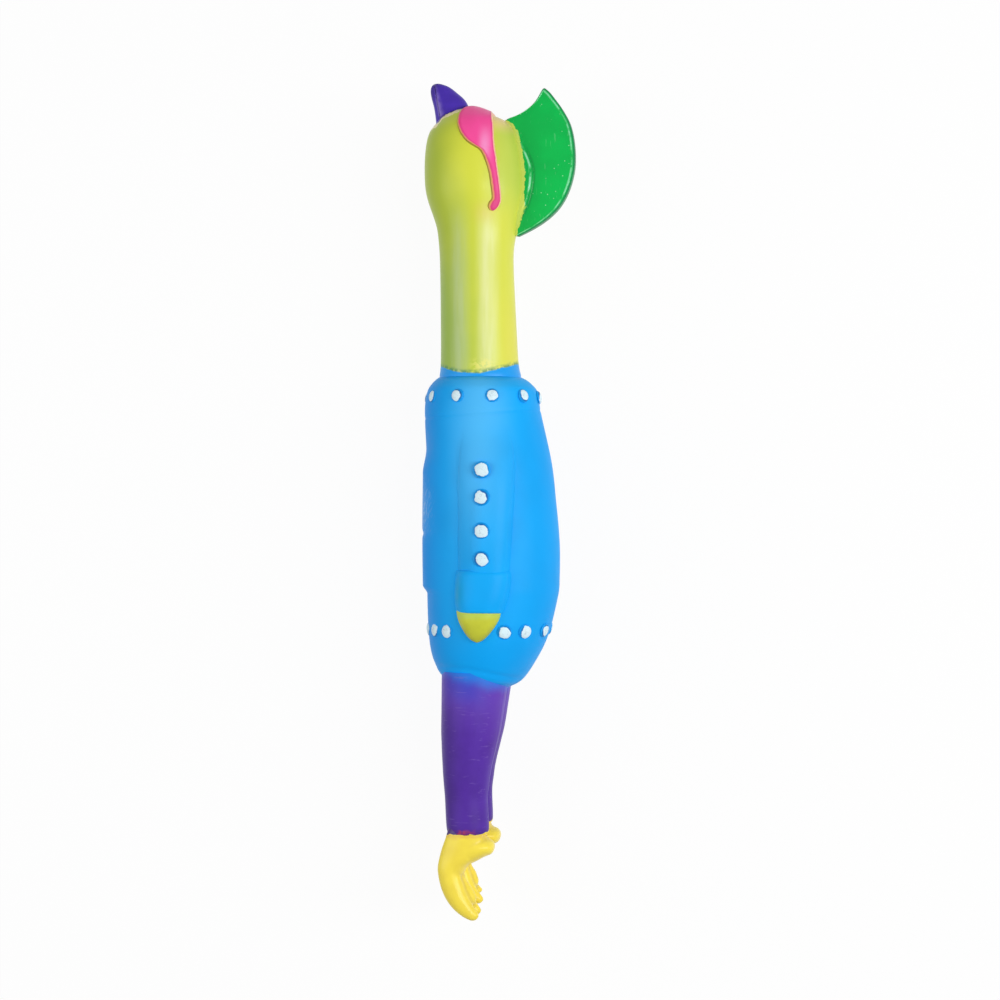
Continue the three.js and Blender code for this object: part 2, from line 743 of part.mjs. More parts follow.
// Raised strip, wrapped round the jacket's front
const stripLow = seatLevel + stripLowShare * jacketLength;
const stripHigh = seatLevel + stripHighShare * jacketLength;
const stripWindow = box(
  pin(-jacketDepth, stripLow, -stripWidth / 2),
  pin(0, stripHigh, stripWidth / 2),
);
const stripBody = fill(jacketSkin, jacketSides, jacketRings, stripRise)
  .intersect(stripWindow)
  .subtract(jacketKeepOut);
add('jacket_front_strip', stripBody, vinylBlue);
add('neck', neckBody, vinylYellowGreen);
add('head', headBody, vinylYellowGreen, headGroup);
add('comb', combBody, paintGreen, headGroup);
add('upper_beak', upperBeakBody, paintBeak, headGroup);
add('lower_beak', lowerBeakBody, paintBeak, headGroup);
add('sunglass_lenses', lensBody, paintPink, headGroup);
add('left_temple', templeBody(1), paintPink, headGroup);
add('right_temple', templeBody(-1), paintPink, headGroup);

// Arms
const flankPivot = pin(armSetShare * jacketDepth, seatLevel + jacketLength / 2, armReach);
const flankGroup = movingGroup('left_flank_slide', flankPivot);
const armSlab = box(
  pin(-jacketDepth, bottomEnd, -armReach),
  pin(jacketDepth, topEnd, armReach),
);
const armSides = 16;
function armPiece(rows, side, reach, rings) {
  return fill(skinOf(armStations(rows, side, reach), armSquare), armSides, rings)
    .intersect(armSlab)
    .subtract(jacketKeepOut);
}
add('left_flank_panel', panelBody, vinylBlue, flankGroup);
for (const [word, side, parent] of [['left', 1, flankGroup], ['right', -1, toy]]) {
  add(`${word}_sleeve`, armPiece(sleeveShares, side, sleeveReach, 9), vinylBlue, parent);
  add(`${word}_cuff`, armPiece(cuffShares, side, cuffReach, 4), vinylBlue, parent);
  add(`${word}_hand`, armPiece(handShares, side, cuffReach, 5), paintHand, parent);
}

// A low dome with a flat top, standing on its base.
function studGeometry(width, height, sides = 8) {
  const outline = studShares.map(([out, up]) => [(out * width) / 2, up * height]);
  return turned([[0, 0], ...outline, [0, height]], sides);
}
function addStud(name, point, normal, width, height, parent) {
  const offset = parent.userData.origin ?? new THREE.Vector3();
  const mesh = new THREE.Mesh(studGeometry(width, height), paintWhite);
  mesh.name = name;
  mesh.quaternion.setFromUnitVectors(pin(0, 1), normal);
  mesh.position.copy(point).sub(offset);
  parent.add(mesh);
}

// A stud's seat on the jacket, at one height.
const studPlace = (level, angle) => {
  const t = shareAtLevel(jacketSkin, level);
  return [skinPoint(jacketSkin, t, angle, clearance), skinNormal(jacketSkin, t, angle)];
};
for (let i = 0; i < collarStudCount; i += 1) {
  const angle = (i / collarStudCount) * Math.PI * 2;
  const [point, normal] = studPlace(collarLevel - collarRowDrop, angle);
  addStud(`collar_stud_${i + 1}`, point, normal, collarStudWidth, seamStudHeight, toy);
}
const hemAngles = hemStudShares.flatMap((share) => [
  Math.PI * (1 - share),
  -Math.PI * (1 - share),
]);
hemAngles.forEach((angle, i) => {
  const [point, normal] = studPlace(seatLevel + handTipRise + hemRowRise, angle);
  addStud(`hem_stud_${i + 1}`, point, normal, hemStudWidth, seamStudHeight, toy);
});
for (const [word, side, parent] of [['left', 1, flankGroup], ['right', -1, toy]]) {
  sleeveStudShares.forEach((share, i) => {
    const level = seatLevel + armTopShare * jacketLength - share * armLength;
    const seat = pin(armSetShare * jacketDepth, level, side * (armReach - studProud));
    const name = `${word}_sleeve_stud_${i + 1}`;
    addStud(name, seat, pin(0, 0, side), sleeveStudWidth, studProud, parent);
  });
}

// Trousers and feet
const legSides = 16;
const legRings = 10;
for (const [word, side] of [['left', 1], ['right', -1]]) {
  const legSkin = skinOf(legStations(side), legSquare);
  const legFill = fill(legSkin, legSides, legRings).intersect(legSide(side, legGap / 2));
  const legHollow = fill(legSkin, hollowSides, legRings, -skinWall).intersect(
    legSide(side, legGap / 2 + skinWall),
  );
  const hip = hipPivot(side);
  const ankleShare = shareAtLevel(legSkin, hemLevel + liftOf(side) + ankleRise);
  const ankle = skinPoint(legSkin, ankleShare, 0)
    .add(skinPoint(legSkin, ankleShare, Math.PI))
    .divideScalar(2);
  const legGroup = movingGroup(`${word}_hip_pivot`, hip);
  const footGroup = movingGroup(`${word}_ankle_pivot`, ankle, legGroup);

  const aboveHip = slab(hip.y, topEnd);
  const hipBall = ball(hip, hipRadius);
  const topHollow = legHollow.intersect(aboveHip.add(ball(hip, hipRadius - skinWall)));
  const topBody = legFill
    .intersect(aboveHip.add(hipBall))
    .subtract(jacketKeepOut)
    .subtract(topHollow)
    .subtract(rod(hip.x, hip.z, hip.y - hipRadius - overrun, hip.y, airHole));
  add(`${word}_trouser_top`, topBody, vinylPurple);

  const belowHip = slab(bottomEnd, hip.y);
  const aboveAnkle = slab(ankle.y, topEnd);
  const legBody = legFill
    .intersect(belowHip)
    .subtract(cupHollow(hip, hipRadius + clearance))
    .intersect(aboveAnkle.add(ball(ankle, ankleRadius)))
    .subtract(legHollow.intersect(aboveAnkle.add(ball(ankle, ankleRadius - skinWall))));
  add(`${word}_trouser_leg`, legBody, vinylPurple, legGroup);

  const footOrigin = pin(0, liftOf(side));
  const footSkin = (rows, width, across, sides, rings) =>
    fill(
      skinOf(tiltedStations(rows, footOrigin, footLength, width, ankle.z + across)),
      sides,
      rings,
    );
  const toeStep = (footWidth - toeWidth) / 2;
  let foot = footSkin(palmShares, footWidth, 0, 12, 6);
  for (const across of [toeStep, -toeStep]) {
    foot = foot.add(footSkin(outerToeShares, toeWidth, across, 8, 7));
  }
  foot = foot.add(footSkin(middleToeShares, toeWidth, 0, 8, 6));
  foot = foot.add(footSkin(hindToeShares, footWidth, 0, 10, 4));
  foot = foot
    .intersect(slab(bottomEnd, ankle.y))
    .subtract(cupHollow(ankle, ankleRadius + clearance));
  add(`${word}_foot`, foot, vinylYellow, footGroup);
}

// Squeaker
const squeaker = new THREE.Group();
squeaker.position.copy(squeakerSeatPoint);
squeaker.quaternion.copy(squeakerTurn);
toy.add(squeaker);
function addSqueakerPiece(name, body, material, parent = squeaker) {
  const mesh = new THREE.Mesh(geometryOf(body), material);
  mesh.name = name;
  parent.add(mesh);
}
const barrelEnd = -flangeThickness - barrelLength;
const barbTop = bossFloor - clearance;
const capTop = barrelEnd - clearance;
const boreFloor = -flangeThickness;
const housing = solid(
  turned([
    [soundHole / 2, 0],
    [soundHole / 2, boreFloor],
    [barrelBore / 2, boreFloor],
    [barrelBore / 2, barrelEnd],
    [barrelWidth / 2, barrelEnd],
    [barrelWidth / 2, barbTop - barbLength],
    [barrelWidth / 2 + barbRise, barbTop],
    [barrelWidth / 2, barbTop],
    [barrelWidth / 2, -flangeThickness],
    [flangeWidth / 2, -flangeThickness],
    [flangeWidth / 2, 0],
    [soundHole / 2, 0],
  ]),
);
addSqueakerPiece('squeaker_housing', housing, plasticWhite);
const capSpigot = barrelBore / 2 - clearance;
const capBody = solid(
  turned([
    [capHole / 2, capTop - capThickness],
    [barrelWidth / 2, capTop - capThickness],
    [barrelWidth / 2, capTop],
    [capSpigot, capTop],
    [capSpigot, capTop + capThickness],
    [capHole / 2, capTop + capThickness],
    [capHole / 2, capTop - capThickness],
  ]),
);
addSqueakerPiece('squeaker_cap', capBody, plasticWhite);

// The reed lies over the flat of a half round seat, held at its inner end.
const seatLow = capTop + capThickness + clearance;
const seatHigh = boreFloor - clearance;
const seatRound = rod(0, 0, seatLow, seatHigh, barrelBore - 2 * clearance, 20);
const reedTop = -seatFlatDrop + clearance + reedThickness;
const belowFlat = box(
  pin(-barrelBore, seatLow - overrun, -barrelBore),
  pin(barrelBore, seatHigh + overrun, -seatFlatDrop),
);
const reedChannel = box(
  pin(-reedChannelWidth / 2, seatLow + reedRootLength, -seatFlatDrop - reedChannelDepth),
  pin(reedChannelWidth / 2, seatHigh + overrun, 0),
);
const clampBlock = box(
  pin(-reedWidth, seatLow, reedTop + clearance),
  pin(reedWidth, seatLow + reedRootLength, barrelBore),
);
const clampPost = box(
  pin(reedWidth / 2 + clearance, seatLow, -seatFlatDrop - clearance),
  pin(barrelBore, seatLow + reedRootLength, barrelBore),
);
const reedSeat = seatRound
  .intersect(belowFlat.subtract(reedChannel).add(clampBlock).add(clampPost));
addSqueakerPiece('reed_seat', reedSeat, plasticWhite);
const reedPivot = new THREE.Group();
reedPivot.name = 'reed_pivot';
reedPivot.position.set(0, seatLow + reedRootLength, reedTop - reedThickness / 2);
squeaker.add(reedPivot);
const reedGeometry = new THREE.BoxGeometry(reedWidth, reedLength, reedThickness);
reedGeometry.translate(0, reedLength / 2 - reedRootLength, 0);
const reed = new THREE.Mesh(reedGeometry, plasticReed);
reed.name = 'squeaker_reed';
reedPivot.add(reed);

// Sets the toy down: the origin is under the middle of its bounding box.
const part = new THREE.Group();
part.add(toy);
part.updateMatrixWorld(true);
const bounds = new THREE.Box3().setFromObject(toy, true);
const middle = bounds.getCenter(new THREE.Vector3());
toy.position.set(-middle.x, -middle.y, -bounds.min.z);
part.updateMatrixWorld(true);

export default part;
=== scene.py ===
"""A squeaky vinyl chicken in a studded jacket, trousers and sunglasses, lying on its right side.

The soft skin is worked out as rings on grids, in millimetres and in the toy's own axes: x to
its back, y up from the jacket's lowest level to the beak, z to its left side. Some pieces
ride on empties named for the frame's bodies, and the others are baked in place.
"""

import math
from functools import cache
from types import SimpleNamespace

import bpy
import numpy as np
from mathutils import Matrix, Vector


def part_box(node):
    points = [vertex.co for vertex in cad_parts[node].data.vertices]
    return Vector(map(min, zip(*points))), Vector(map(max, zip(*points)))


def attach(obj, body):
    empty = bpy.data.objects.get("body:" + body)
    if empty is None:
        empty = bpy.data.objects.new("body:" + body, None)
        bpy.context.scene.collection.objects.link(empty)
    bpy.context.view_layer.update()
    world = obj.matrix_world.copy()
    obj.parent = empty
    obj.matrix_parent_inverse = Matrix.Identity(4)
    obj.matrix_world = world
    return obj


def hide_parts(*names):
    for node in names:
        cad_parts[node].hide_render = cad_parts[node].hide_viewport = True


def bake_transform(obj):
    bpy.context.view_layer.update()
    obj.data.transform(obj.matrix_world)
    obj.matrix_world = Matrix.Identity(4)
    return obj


bl_info = {
    "name": "Squeaky Vinyl Chicken",
    "version": (1, 0, 0),
    "blender": (4, 5, 0),
    "location": "3D View > Sidebar > Toy",
    "description": "Builds the toy's soft skin, its reliefs and its paint round the frame",
    "category": "Add Mesh",
}

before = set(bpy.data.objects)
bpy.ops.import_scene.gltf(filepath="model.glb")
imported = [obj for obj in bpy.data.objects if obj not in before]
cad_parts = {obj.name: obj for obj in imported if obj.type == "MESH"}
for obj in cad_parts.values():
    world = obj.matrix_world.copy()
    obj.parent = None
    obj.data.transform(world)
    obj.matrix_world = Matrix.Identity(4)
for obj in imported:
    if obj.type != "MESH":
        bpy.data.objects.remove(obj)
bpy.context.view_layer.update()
MM = 0.001  # a millimetre, in the frame's metres

# Places in the frame
JACKET_LOW, JACKET_HIGH = (np.array(corner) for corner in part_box("jacket"))
COMB_LOW, COMB_HIGH = (np.array(corner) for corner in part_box("comb"))
JACKET_DEPTH_SHARES = (0.404, 0.563)  # of its depth: how far it reaches forwards and back
JACKET_LENGTH = (JACKET_HIGH - JACKET_LOW)[1] / MM
JACKET_DEPTH = (JACKET_HIGH - JACKET_LOW)[0] / sum(JACKET_DEPTH_SHARES) / MM
MIDDLE_PLACE = JACKET_LOW[0] + JACKET_DEPTH_SHARES[0] * JACKET_DEPTH * MM
ORIGIN = np.array([MIDDLE_PLACE, JACKET_LOW[1], (COMB_LOW[2] + COMB_HIGH[2]) / 2])

# The photograph's view: it looks at this point of the toy's axes, turned about its length
PHOTO_PIXELS = 1000
PIXEL_SIZE = 0.479
VIEW_TARGET = np.array([8.6, 90.3, 0])
VIEW_TURN = math.radians(8.5)
CAMERA_DISTANCE = 1100
SENSOR_WIDTH = 36
RAY_SHARES = (0.94, 1)  # of the way to the picture's plane, where rays are followed
RAY_STEPS = 600

# Levels between which the soft skin would turn from one body to the next: they are passed on, but
# no bend is made
NECK_BEND = (155, 197)
HIP_BEND = (-4, -30)
ANKLE_BEND = (-68, -82)
FLANK_BEND = (19.2, 32)  # from the middle plane to the left


def length(name, description, millimetres):
    """A size that a user may change, in metres."""
    return bpy.props.FloatProperty(
        name=name,
        description=description,
        default=millimetres * MM,
        min=0,
        unit="LENGTH",
        precision=4,
    )


def linear(*screen):
    """A screen colour, 0 to 255, as the linear colour that a shader takes."""
    share = np.array(screen) / 255
    high = ((share + 0.055) / 1.055) ** 2.4
    return tuple(np.where(share <= 0.04045, share / 12.92, high).tolist())


def colour(name, description, *screen):
    """A colour that a user may change."""
    return bpy.props.FloatVectorProperty(
        name=name,
        description=description,
        default=linear(*screen),
        min=0,
        max=1,
        size=3,
        subtype="COLOR",
    )


class ToySizes(bpy.types.PropertyGroup):
    """Sizes of the toy's skin and of what is moulded on it."""

    jacket_width: length("Jacket width", "Side to side, without the arms", 58.6)
    strip_rise: length("Strip rise", "How far the front strip stands out", 2.1)
    strip_width: length("Strip width", "Width of the front strip", 37)
    neck_length: length("Neck length", "From the collar to the throat", 63.2)
    neck_depth: length("Neck depth", "Front to back of the neck", 35.9)
    neck_width: length("Neck width", "Side to side of the neck", 34.4)
    head_length: length("Head length", "From the throat to the crown", 64)
    head_depth: length("Head depth", "Front to back of the head", 48.4)
    head_width: length("Head width", "Side to side of the head", 43)
    beak_length: length("Beak length", "From its root to its tip", 18.2)
    beak_width: length("Beak width", "Side to side at its root", 13.4)
    comb_height: length("Comb height", "From its foot to its tip", 72.6)
    comb_reach: length("Comb reach", "How far it stands out behind", 31.2)
    comb_thickness: length("Comb thickness", "Of the plate", 7.2)
    comb_swell: length("Comb root swell", "Extra thickness on each side at the root", 2.3)
    glasses_rise: length("Sunglasses rise", "How far the relief stands out", 1.7)
    arm_width: length("Arm width", "Front to back of the arm", 27.4)
    arm_reach: length("Arm reach", "From the middle plane to the arm's flat", 36)
    arm_centre: length("Arm centre", "From the middle plane to the arm's middle", 21)
    hand_tip_rise: length("Hand height", "From the jacket's lowest level", 23.5)
    trouser_length: length("Trouser length", "From the jacket to the hem", 68.5)
    leg_depth: length("Leg depth", "Front to back of a leg", 31.6)
    leg_width: length("Leg width", "From the middle plane to a leg's outer side", 23.4)
    leg_gap: length("Leg gap", "Between the legs", 1.2)
    right_leg_lift: length("Right leg lift", "How much shorter the right leg is", 2.7)
    foot_length: length("Foot length", "From the hem to the toes", 41.4)
    foot_width: length("Foot width", "Side to side of a foot", 18)
    toe_width: length("Toe width", "Side to side of a toe", 8)


class ToyColours(bpy.types.PropertyGroup):
    """Paint and vinyl colours."""

    jacket: colour("Jacket", "Blue paint", 10, 172, 252)
    skin: colour("Skin", "Yellow-green vinyl of the head and neck", 220, 226, 70)
    # Partly the greener vinyl of the front, partly painted shade on that side.
    skin_shade: colour("Skin shade", "Greener vinyl towards the front", 176, 196, 58)
    trousers: colour("Trousers", "Purple paint", 84, 46, 158)
    feet: colour("Feet", "Yellow vinyl", 253, 228, 76)
    comb: colour("Comb", "Glossy green paint", 3, 188, 80)
    beak: colour("Beak", "Purple paint of the beak", 74, 48, 174)
    glasses: colour("Sunglasses", "Pink paint", 255, 82, 160)
    studs: colour("Studs", "White paint of the studs", 222, 244, 252)
    hands: colour("Hands", "Yellow-green of the hands", 204, 208, 60)
    squeaker: colour("Squeaker", "White plastic", 240, 240, 236)


def sizes():
    """The user's sizes in millimetres, and the throat's level."""
    group = bpy.context.scene.toy_sizes
    size = SimpleNamespace(**{name: getattr(group, name) / MM for name in group.__annotations__})
    size.throat = JACKET_LENGTH + size.neck_length
    return size


def colours():
    """The user's colours."""
    return bpy.context.scene.toy_colours


# Surfaces

LINE_STEPS = 200


def spline(table, shares):
    """Rows of a table at shares of its length. A natural cubic runs through the rows: its
    second differences solve the three-term equations of a thin bent rod."""
    table = np.asarray(table, float)
    last = len(table) - 1
    bend = np.zeros_like(table)
    if last > 1:
        rod = 4 * np.eye(last - 1) + np.eye(last - 1, k=1) + np.eye(last - 1, k=-1)
        bend[1:-1] = np.linalg.solve(rod, 6 * (table[:-2] - 2 * table[1:-1] + table[2:]))
    place = np.clip(shares, 0, 1) * last
    row = np.minimum(place.astype(int), last - 1)
    after = (place - row)[..., None]
    before = 1 - after
    straight = before * table[row] + after * table[row + 1]
    return straight + ((before**3 - before) * bend[row] + (after**3 - after) * bend[row + 1]) / 6


def smooth(value, low, high):
    """0 below low, 1 above high, and a smooth S between them."""
    share = np.clip((value - low) / (high - low), 0, 1)
    return share * share * (3 - 2 * share)


def ridge(value, middle, half):
    """1 at the middle, falling off as a bell that is half wide."""
    return np.exp(-(((value - middle) / half) ** 2))


def rounded(share):
    """A quarter-round's height at a share of its width: the root of 1 - (1 - share)^2."""
    return np.sqrt(1 - (1 - np.clip(share, 0, 1)) ** 2)


def soft_max(first, second, fillet):
    """The larger of two heights, with a fillet of that size where they cross."""
    near = np.maximum(fillet - np.abs(first - second), 0) / fillet
    return np.maximum(first, second) + near * near * fillet / 4


def signed_power(value, power):
    """The power of a value's size, with the value's sign."""
    return np.sign(value) * np.abs(value) ** power


def travelled(points):
    """How far each point of a line lies along it."""
    steps = np.linalg.norm(np.diff(points, axis=0), axis=-1)
    return np.concatenate([[0], np.cumsum(steps)])


class Skin:
    """A tube of rings. A ring has a front and a back point in the middle plane, a half
    width and a middle to the side; a square of 2 makes it an ellipse, more is boxier."""

    FINE = np.linspace(0, 1, 1200)
    TURN = np.linspace(0, math.tau, 6001)

    def __init__(self, rows, square=2):
        self.rows, self.square = rows, square
        front_x, front_y, back_x, back_y, self.halves, _ = spline(rows, self.FINE).T
        self.travel = travelled(np.stack([front_x, front_y, back_x, back_y], axis=1))
        self.levels, self.middles = (front_y + back_y) / 2, (front_x + back_x) / 2
        self.reaches = np.hypot(back_x - front_x, back_y - front_y) / 2

    def even_shares(self, count):
        """Shares of the length at which the rings lie equally far apart."""
        return np.interp(np.linspace(0, self.travel[-1], count), self.travel, self.FINE)

    def even_angles(self, count):
        """Angles at which the points of a middling ring lie equally far apart."""
        slim = self.halves.mean() / self.reaches.mean()
        way = np.stack([np.cos(self.TURN), np.sin(self.TURN)], axis=1)
        size = (np.abs(way / [1, slim]) ** self.square).sum(1) ** (-1 / self.square)
        travel = travelled(way * size[:, None])
        even = np.interp(np.arange(count) / count * travel[-1], travel, self.TURN)
        bent = self.square / 2
        side, flat = np.sin(even) / slim, np.cos(even)
        return np.arctan2(signed_power(side, bent), signed_power(flat, bent))

    def points(self, shares, angles):
        """Middle of the ring, plus its reach times the bent cosine from straight back,
        plus its half width times the bent sine towards the left."""
        ring = spline(self.rows, shares)
        front, back = ring[..., 0:2], ring[..., 2:4]
        across = signed_power(np.cos(angles), 2 / self.square)[..., None]
        flat = (front + back) / 2 + (back - front) / 2 * across
        side = ring[..., 5] + ring[..., 4] * signed_power(np.sin(angles), 2 / self.square)
        return np.concatenate([flat, side[..., None]], axis=-1)

    def grid(self, rings, sides):
        """Points of the whole skin, a row for each ring."""
        shares, angles = self.even_shares(rings)[:, None], self.even_angles(sides)[None, :]
        return self.points(*np.broadcast_arrays(shares, angles))

    def across(self, x, y):
        """How far a place lies back from a ring's middle, as a share of its reach."""
        middle = np.interp(y, self.levels, self.middles)
        return (x - middle) / np.interp(y, self.levels, self.reaches)

    def excess(self, points):
        """Under 0 inside a skin of level rings and over 0 outside it."""
        x, y, z = np.moveaxis(points, -1, 0)
        side = z / np.interp(y, self.levels, self.halves)
        return self.across(x, y) ** 2 + side**2 - 1 + np.maximum(y - self.levels[-1], 0)

    def side_height(self, x, y):
        """How far a skin of level rings reaches to the side, over a place in side view."""
        share = np.sqrt(np.maximum(1 - self.across(x, y) ** 2, 0))
        return np.interp(y, self.levels, self.halves) * share


def level_rows(table, low, height, depth, width):
    """Rings from shares: rise, front, back and side, and the front's extra rise."""
    rise, front, back, side, *lift = np.array(table, float).T
    level = low + rise * height
    lifted = level + sum(lift) * height
    back, half = back * depth, side * width / 2
    return np.stack([-front * depth, lifted, back, level, half, half * 0], axis=1)


def tilted_rows(table, origin, scale, width, centre=0):
    """Rings from shares: the front point, the back point and the side."""
    table = np.array(table, float)
    ends = np.tile(origin, 2) + table[:, :4] * np.tile(scale * np.ones(2), 2)
    return np.column_stack([ends, table[:, 4] * width / 2, np.full(len(table), centre)])


def outward(grid):
    """Unit normals of a grid of rings, from the slopes along it and round it."""
    along = np.gradient(grid, axis=0)
    round_it = np.roll(grid, -1, axis=1) - np.roll(grid, 1, axis=1)
    normal = np.cross(along, round_it)
    normal /= np.maximum(np.linalg.norm(normal, axis=-1, keepdims=True), 1e-12)
    middle = grid.mean(axis=1, keepdims=True)
    return normal * np.sign(np.sum(normal * (grid - middle), axis=-1).mean())


def seam_line(value, places, heights):
    """A line's height over a place, smooth through a few given points."""
    curve = spline(np.stack([places, heights], axis=1), np.linspace(0, 1, LINE_STEPS))
    return np.interp(value, curve[:, 0], curve[:, 1])


# Meshes


def linked(name, data):
    """A new object in the scene."""
    made = bpy.data.objects.new(name, data)
    bpy.context.scene.collection.objects.link(made)
    return made


def places_of(mesh):
    """Where a mesh's points lie in the toy's axes."""
    points = np.zeros(len(mesh.vertices) * 3)
    mesh.vertices.foreach_get("co", points)
    return (points.reshape(-1, 3) - ORIGIN) / MM


def piece_of(name, mesh, slot, *nodes, **values):
    """A smooth object at the frame's origin, in its record slot's paint, that stands for
    some nodes. Its points' places are kept, so that paint stays on the skin when it bends,
    and so are further values."""
    mesh.shade_smooth()
    for value_name, kept in {"toy_place": places_of(mesh), **values}.items():
        kind, field = ("FLOAT", "value") if kept.ndim == 1 else ("FLOAT_VECTOR", "vector")
        attribute = mesh.attributes.new(value_name, kind, "POINT")
        attribute.data.foreach_set(field, kept.astype(np.float32).ravel())
    mesh.materials.append(slot_paint(slot))
    piece = linked(name, mesh)
    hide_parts(*nodes)
    return piece


def mesh_of(name, points, *faces):
    """A mesh from points in the toy's axes and the corners of its faces, of some kinds."""
    mesh = bpy.data.meshes.new(name)
    plain = [corners for kind in faces for corners in kind.tolist()]
    mesh.from_pydata((points * MM + ORIGIN).tolist(), [], plain)
    return mesh


def ring_faces(rows, columns):
    """Quads that join each closed ring to the next, and fans that close both ends round
    two further points."""
    index = np.arange(rows * columns).reshape(rows, columns)
    beside = np.roll(index, -1, axis=1)
    quads = np.stack([index[:-1], beside[:-1], beside[1:], index[1:]], axis=-1)
    first = np.full(columns, rows * columns)
    start = np.stack([first, beside[0], index[0]], axis=-1)
    end = np.stack([first + 1, index[-1], beside[-1]], axis=-1)
    return quads.reshape(-1, 4), np.concatenate([start, end])


def turned_out(points, quads, *others):
    """Faces that point outwards: all are turned round where the volume under the quads,
    a sum of triple products, is negative."""
    a, b, c, d = (points[quads[:, i]] for i in range(4))
    volume = np.sum(np.cross(b - a, d - a) * a) + np.sum(np.cross(d - c, b - c) * c)
    way = -1 if volume < 0 else 1
    return [faces[:, ::way] for faces in (quads, *others)]


def with_ends(grid):
    """A grid's values in a row, with the means of its first and last rings."""
    values = grid.reshape(-1, *grid.shape[2:])
    return np.concatenate([values, [grid[0].mean(0), grid[-1].mean(0)]])


def closed_surface(grid):
    """Points and outward faces of a closed surface of rings."""
    points = with_ends(grid)
    return points, *turned_out(points, *ring_faces(*grid.shape[:2]))


def closed_piece(name, grid, slot, *nodes, **values):
    """A piece of a closed surface of rings, with values for each point where it has them."""
    ended = {value_name: with_ends(value) for value_name, value in values.items()}
    return piece_of(name, mesh_of(name, *closed_surface(grid)), slot, *nodes, **ended)


def bend_between(piece, axis, levels):
    """Bakes the piece's place into its mesh. The levels along the axis, between which it
    would turn from one body to the next, give two places that nothing uses.
    """
    start, end = ORIGIN.copy(), ORIGIN.copy()
    start[axis] += levels[0] * MM
    end[axis] += levels[1] * MM
    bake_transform(piece)


def on_flank(piece, side):
    """The left flank's skin is baked in place; the right one rides on the torso."""
    if side > 0:
        bend_between(piece, 2, FLANK_BEND)
    else:
        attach(piece, "torso")


# Materials


def overloaded(operation, reflected=False):
    """One of Value's operators, which adds a Math node for its two sides."""

    def method(self, other):
        sides = (other, self) if reflected else (self, other)
        return self.tree.maths(operation, *sides)

    return method


class Value:
    """The output of a shader node, so that shader maths reads as Python arithmetic."""

    __add__ = __radd__ = overloaded("ADD")
    __mul__ = __rmul__ = overloaded("MULTIPLY")
    __sub__ = overloaded("SUBTRACT")
    __rsub__ = overloaded("SUBTRACT", reflected=True)

    def __init__(self, tree, socket):
        self.tree, self.socket = tree, socket

    def __abs__(self):
        return self.tree.maths("ABSOLUTE", self)

    def output(self, name):
        """Another output of the same node."""
        return Value(self.tree, self.socket.node.outputs[name])

    def smooth(self, low, high):
        """0 below low, 1 above high, and a smooth S between them. Where low is the larger,
        it falls instead, from 1 below high to 0 above low."""
        settings = {"interpolation_type": "SMOOTHSTEP"}
        inputs = {"Value": self, "From Min": low, "From Max": high}
        return self.tree.node("ShaderNodeMapRange", settings, inputs)

    def bell(self, middle, half):
        """1 at the middle, falling smoothly to 0 at half its width away."""
        return abs(self - middle).smooth(half, 0)


class Tree:
    """The nodes of a material or of the world."""

    def __init__(self, owner):
        owner.use_nodes = True
        self.nodes, self.links = owner.node_tree.nodes, owner.node_tree.links

    def fill(self, socket, value):
        """Links a value to a socket, or sets the socket to a number, a vector or a colour."""
        if isinstance(value, Value):
            self.links.new(value.socket, socket)
        else:
            socket.default_value = (*value, 1) if socket.type == "RGBA" else value

    def node(self, kind, settings=None, inputs=None, output=0):
        """Adds a node: its settings come first, and then the values or links of its sockets."""
        made = self.nodes.new(kind)
        for name, value in (settings or {}).items():
            setattr(made, name, value)
        for name, value in (inputs or {}).items():
            self.fill(made.inputs[name], value)
        return Value(self, made.outputs[output])

    def maths(self, operation, *inputs):
        """Adds a Math node."""
        return self.node("ShaderNodeMath", {"operation": operation}, dict(enumerate(inputs)))

    def mix(self, share, first, second):
        """A colour between two, at a share of the way."""
        inputs = {0: share, 6: first, 7: second}
        return self.node("ShaderNodeMix", {"data_type": "RGBA"}, inputs, output=2)

    def seen_white(self, own, white, output):
        """Mixes from the tree's own shader to a white one for the rays that see the
        background: the camera's and those that a glossy or clear surface sends on."""
        camera = self.node("ShaderNodeLightPath")
        glossy, clear = camera.output("Is Glossy Ray"), camera.output("Is Transmission Ray")
        seen = self.maths("MAXIMUM", self.maths("MAXIMUM", camera, glossy), clear)
        plain = Value(self, self.nodes[own].outputs[0])
        inputs = {0: seen * BACKGROUND_SHARE, 1: plain, 2: white}
        mixed = self.node("ShaderNodeMixShader", None, inputs)
        self.fill(self.nodes[output].inputs[0], mixed)


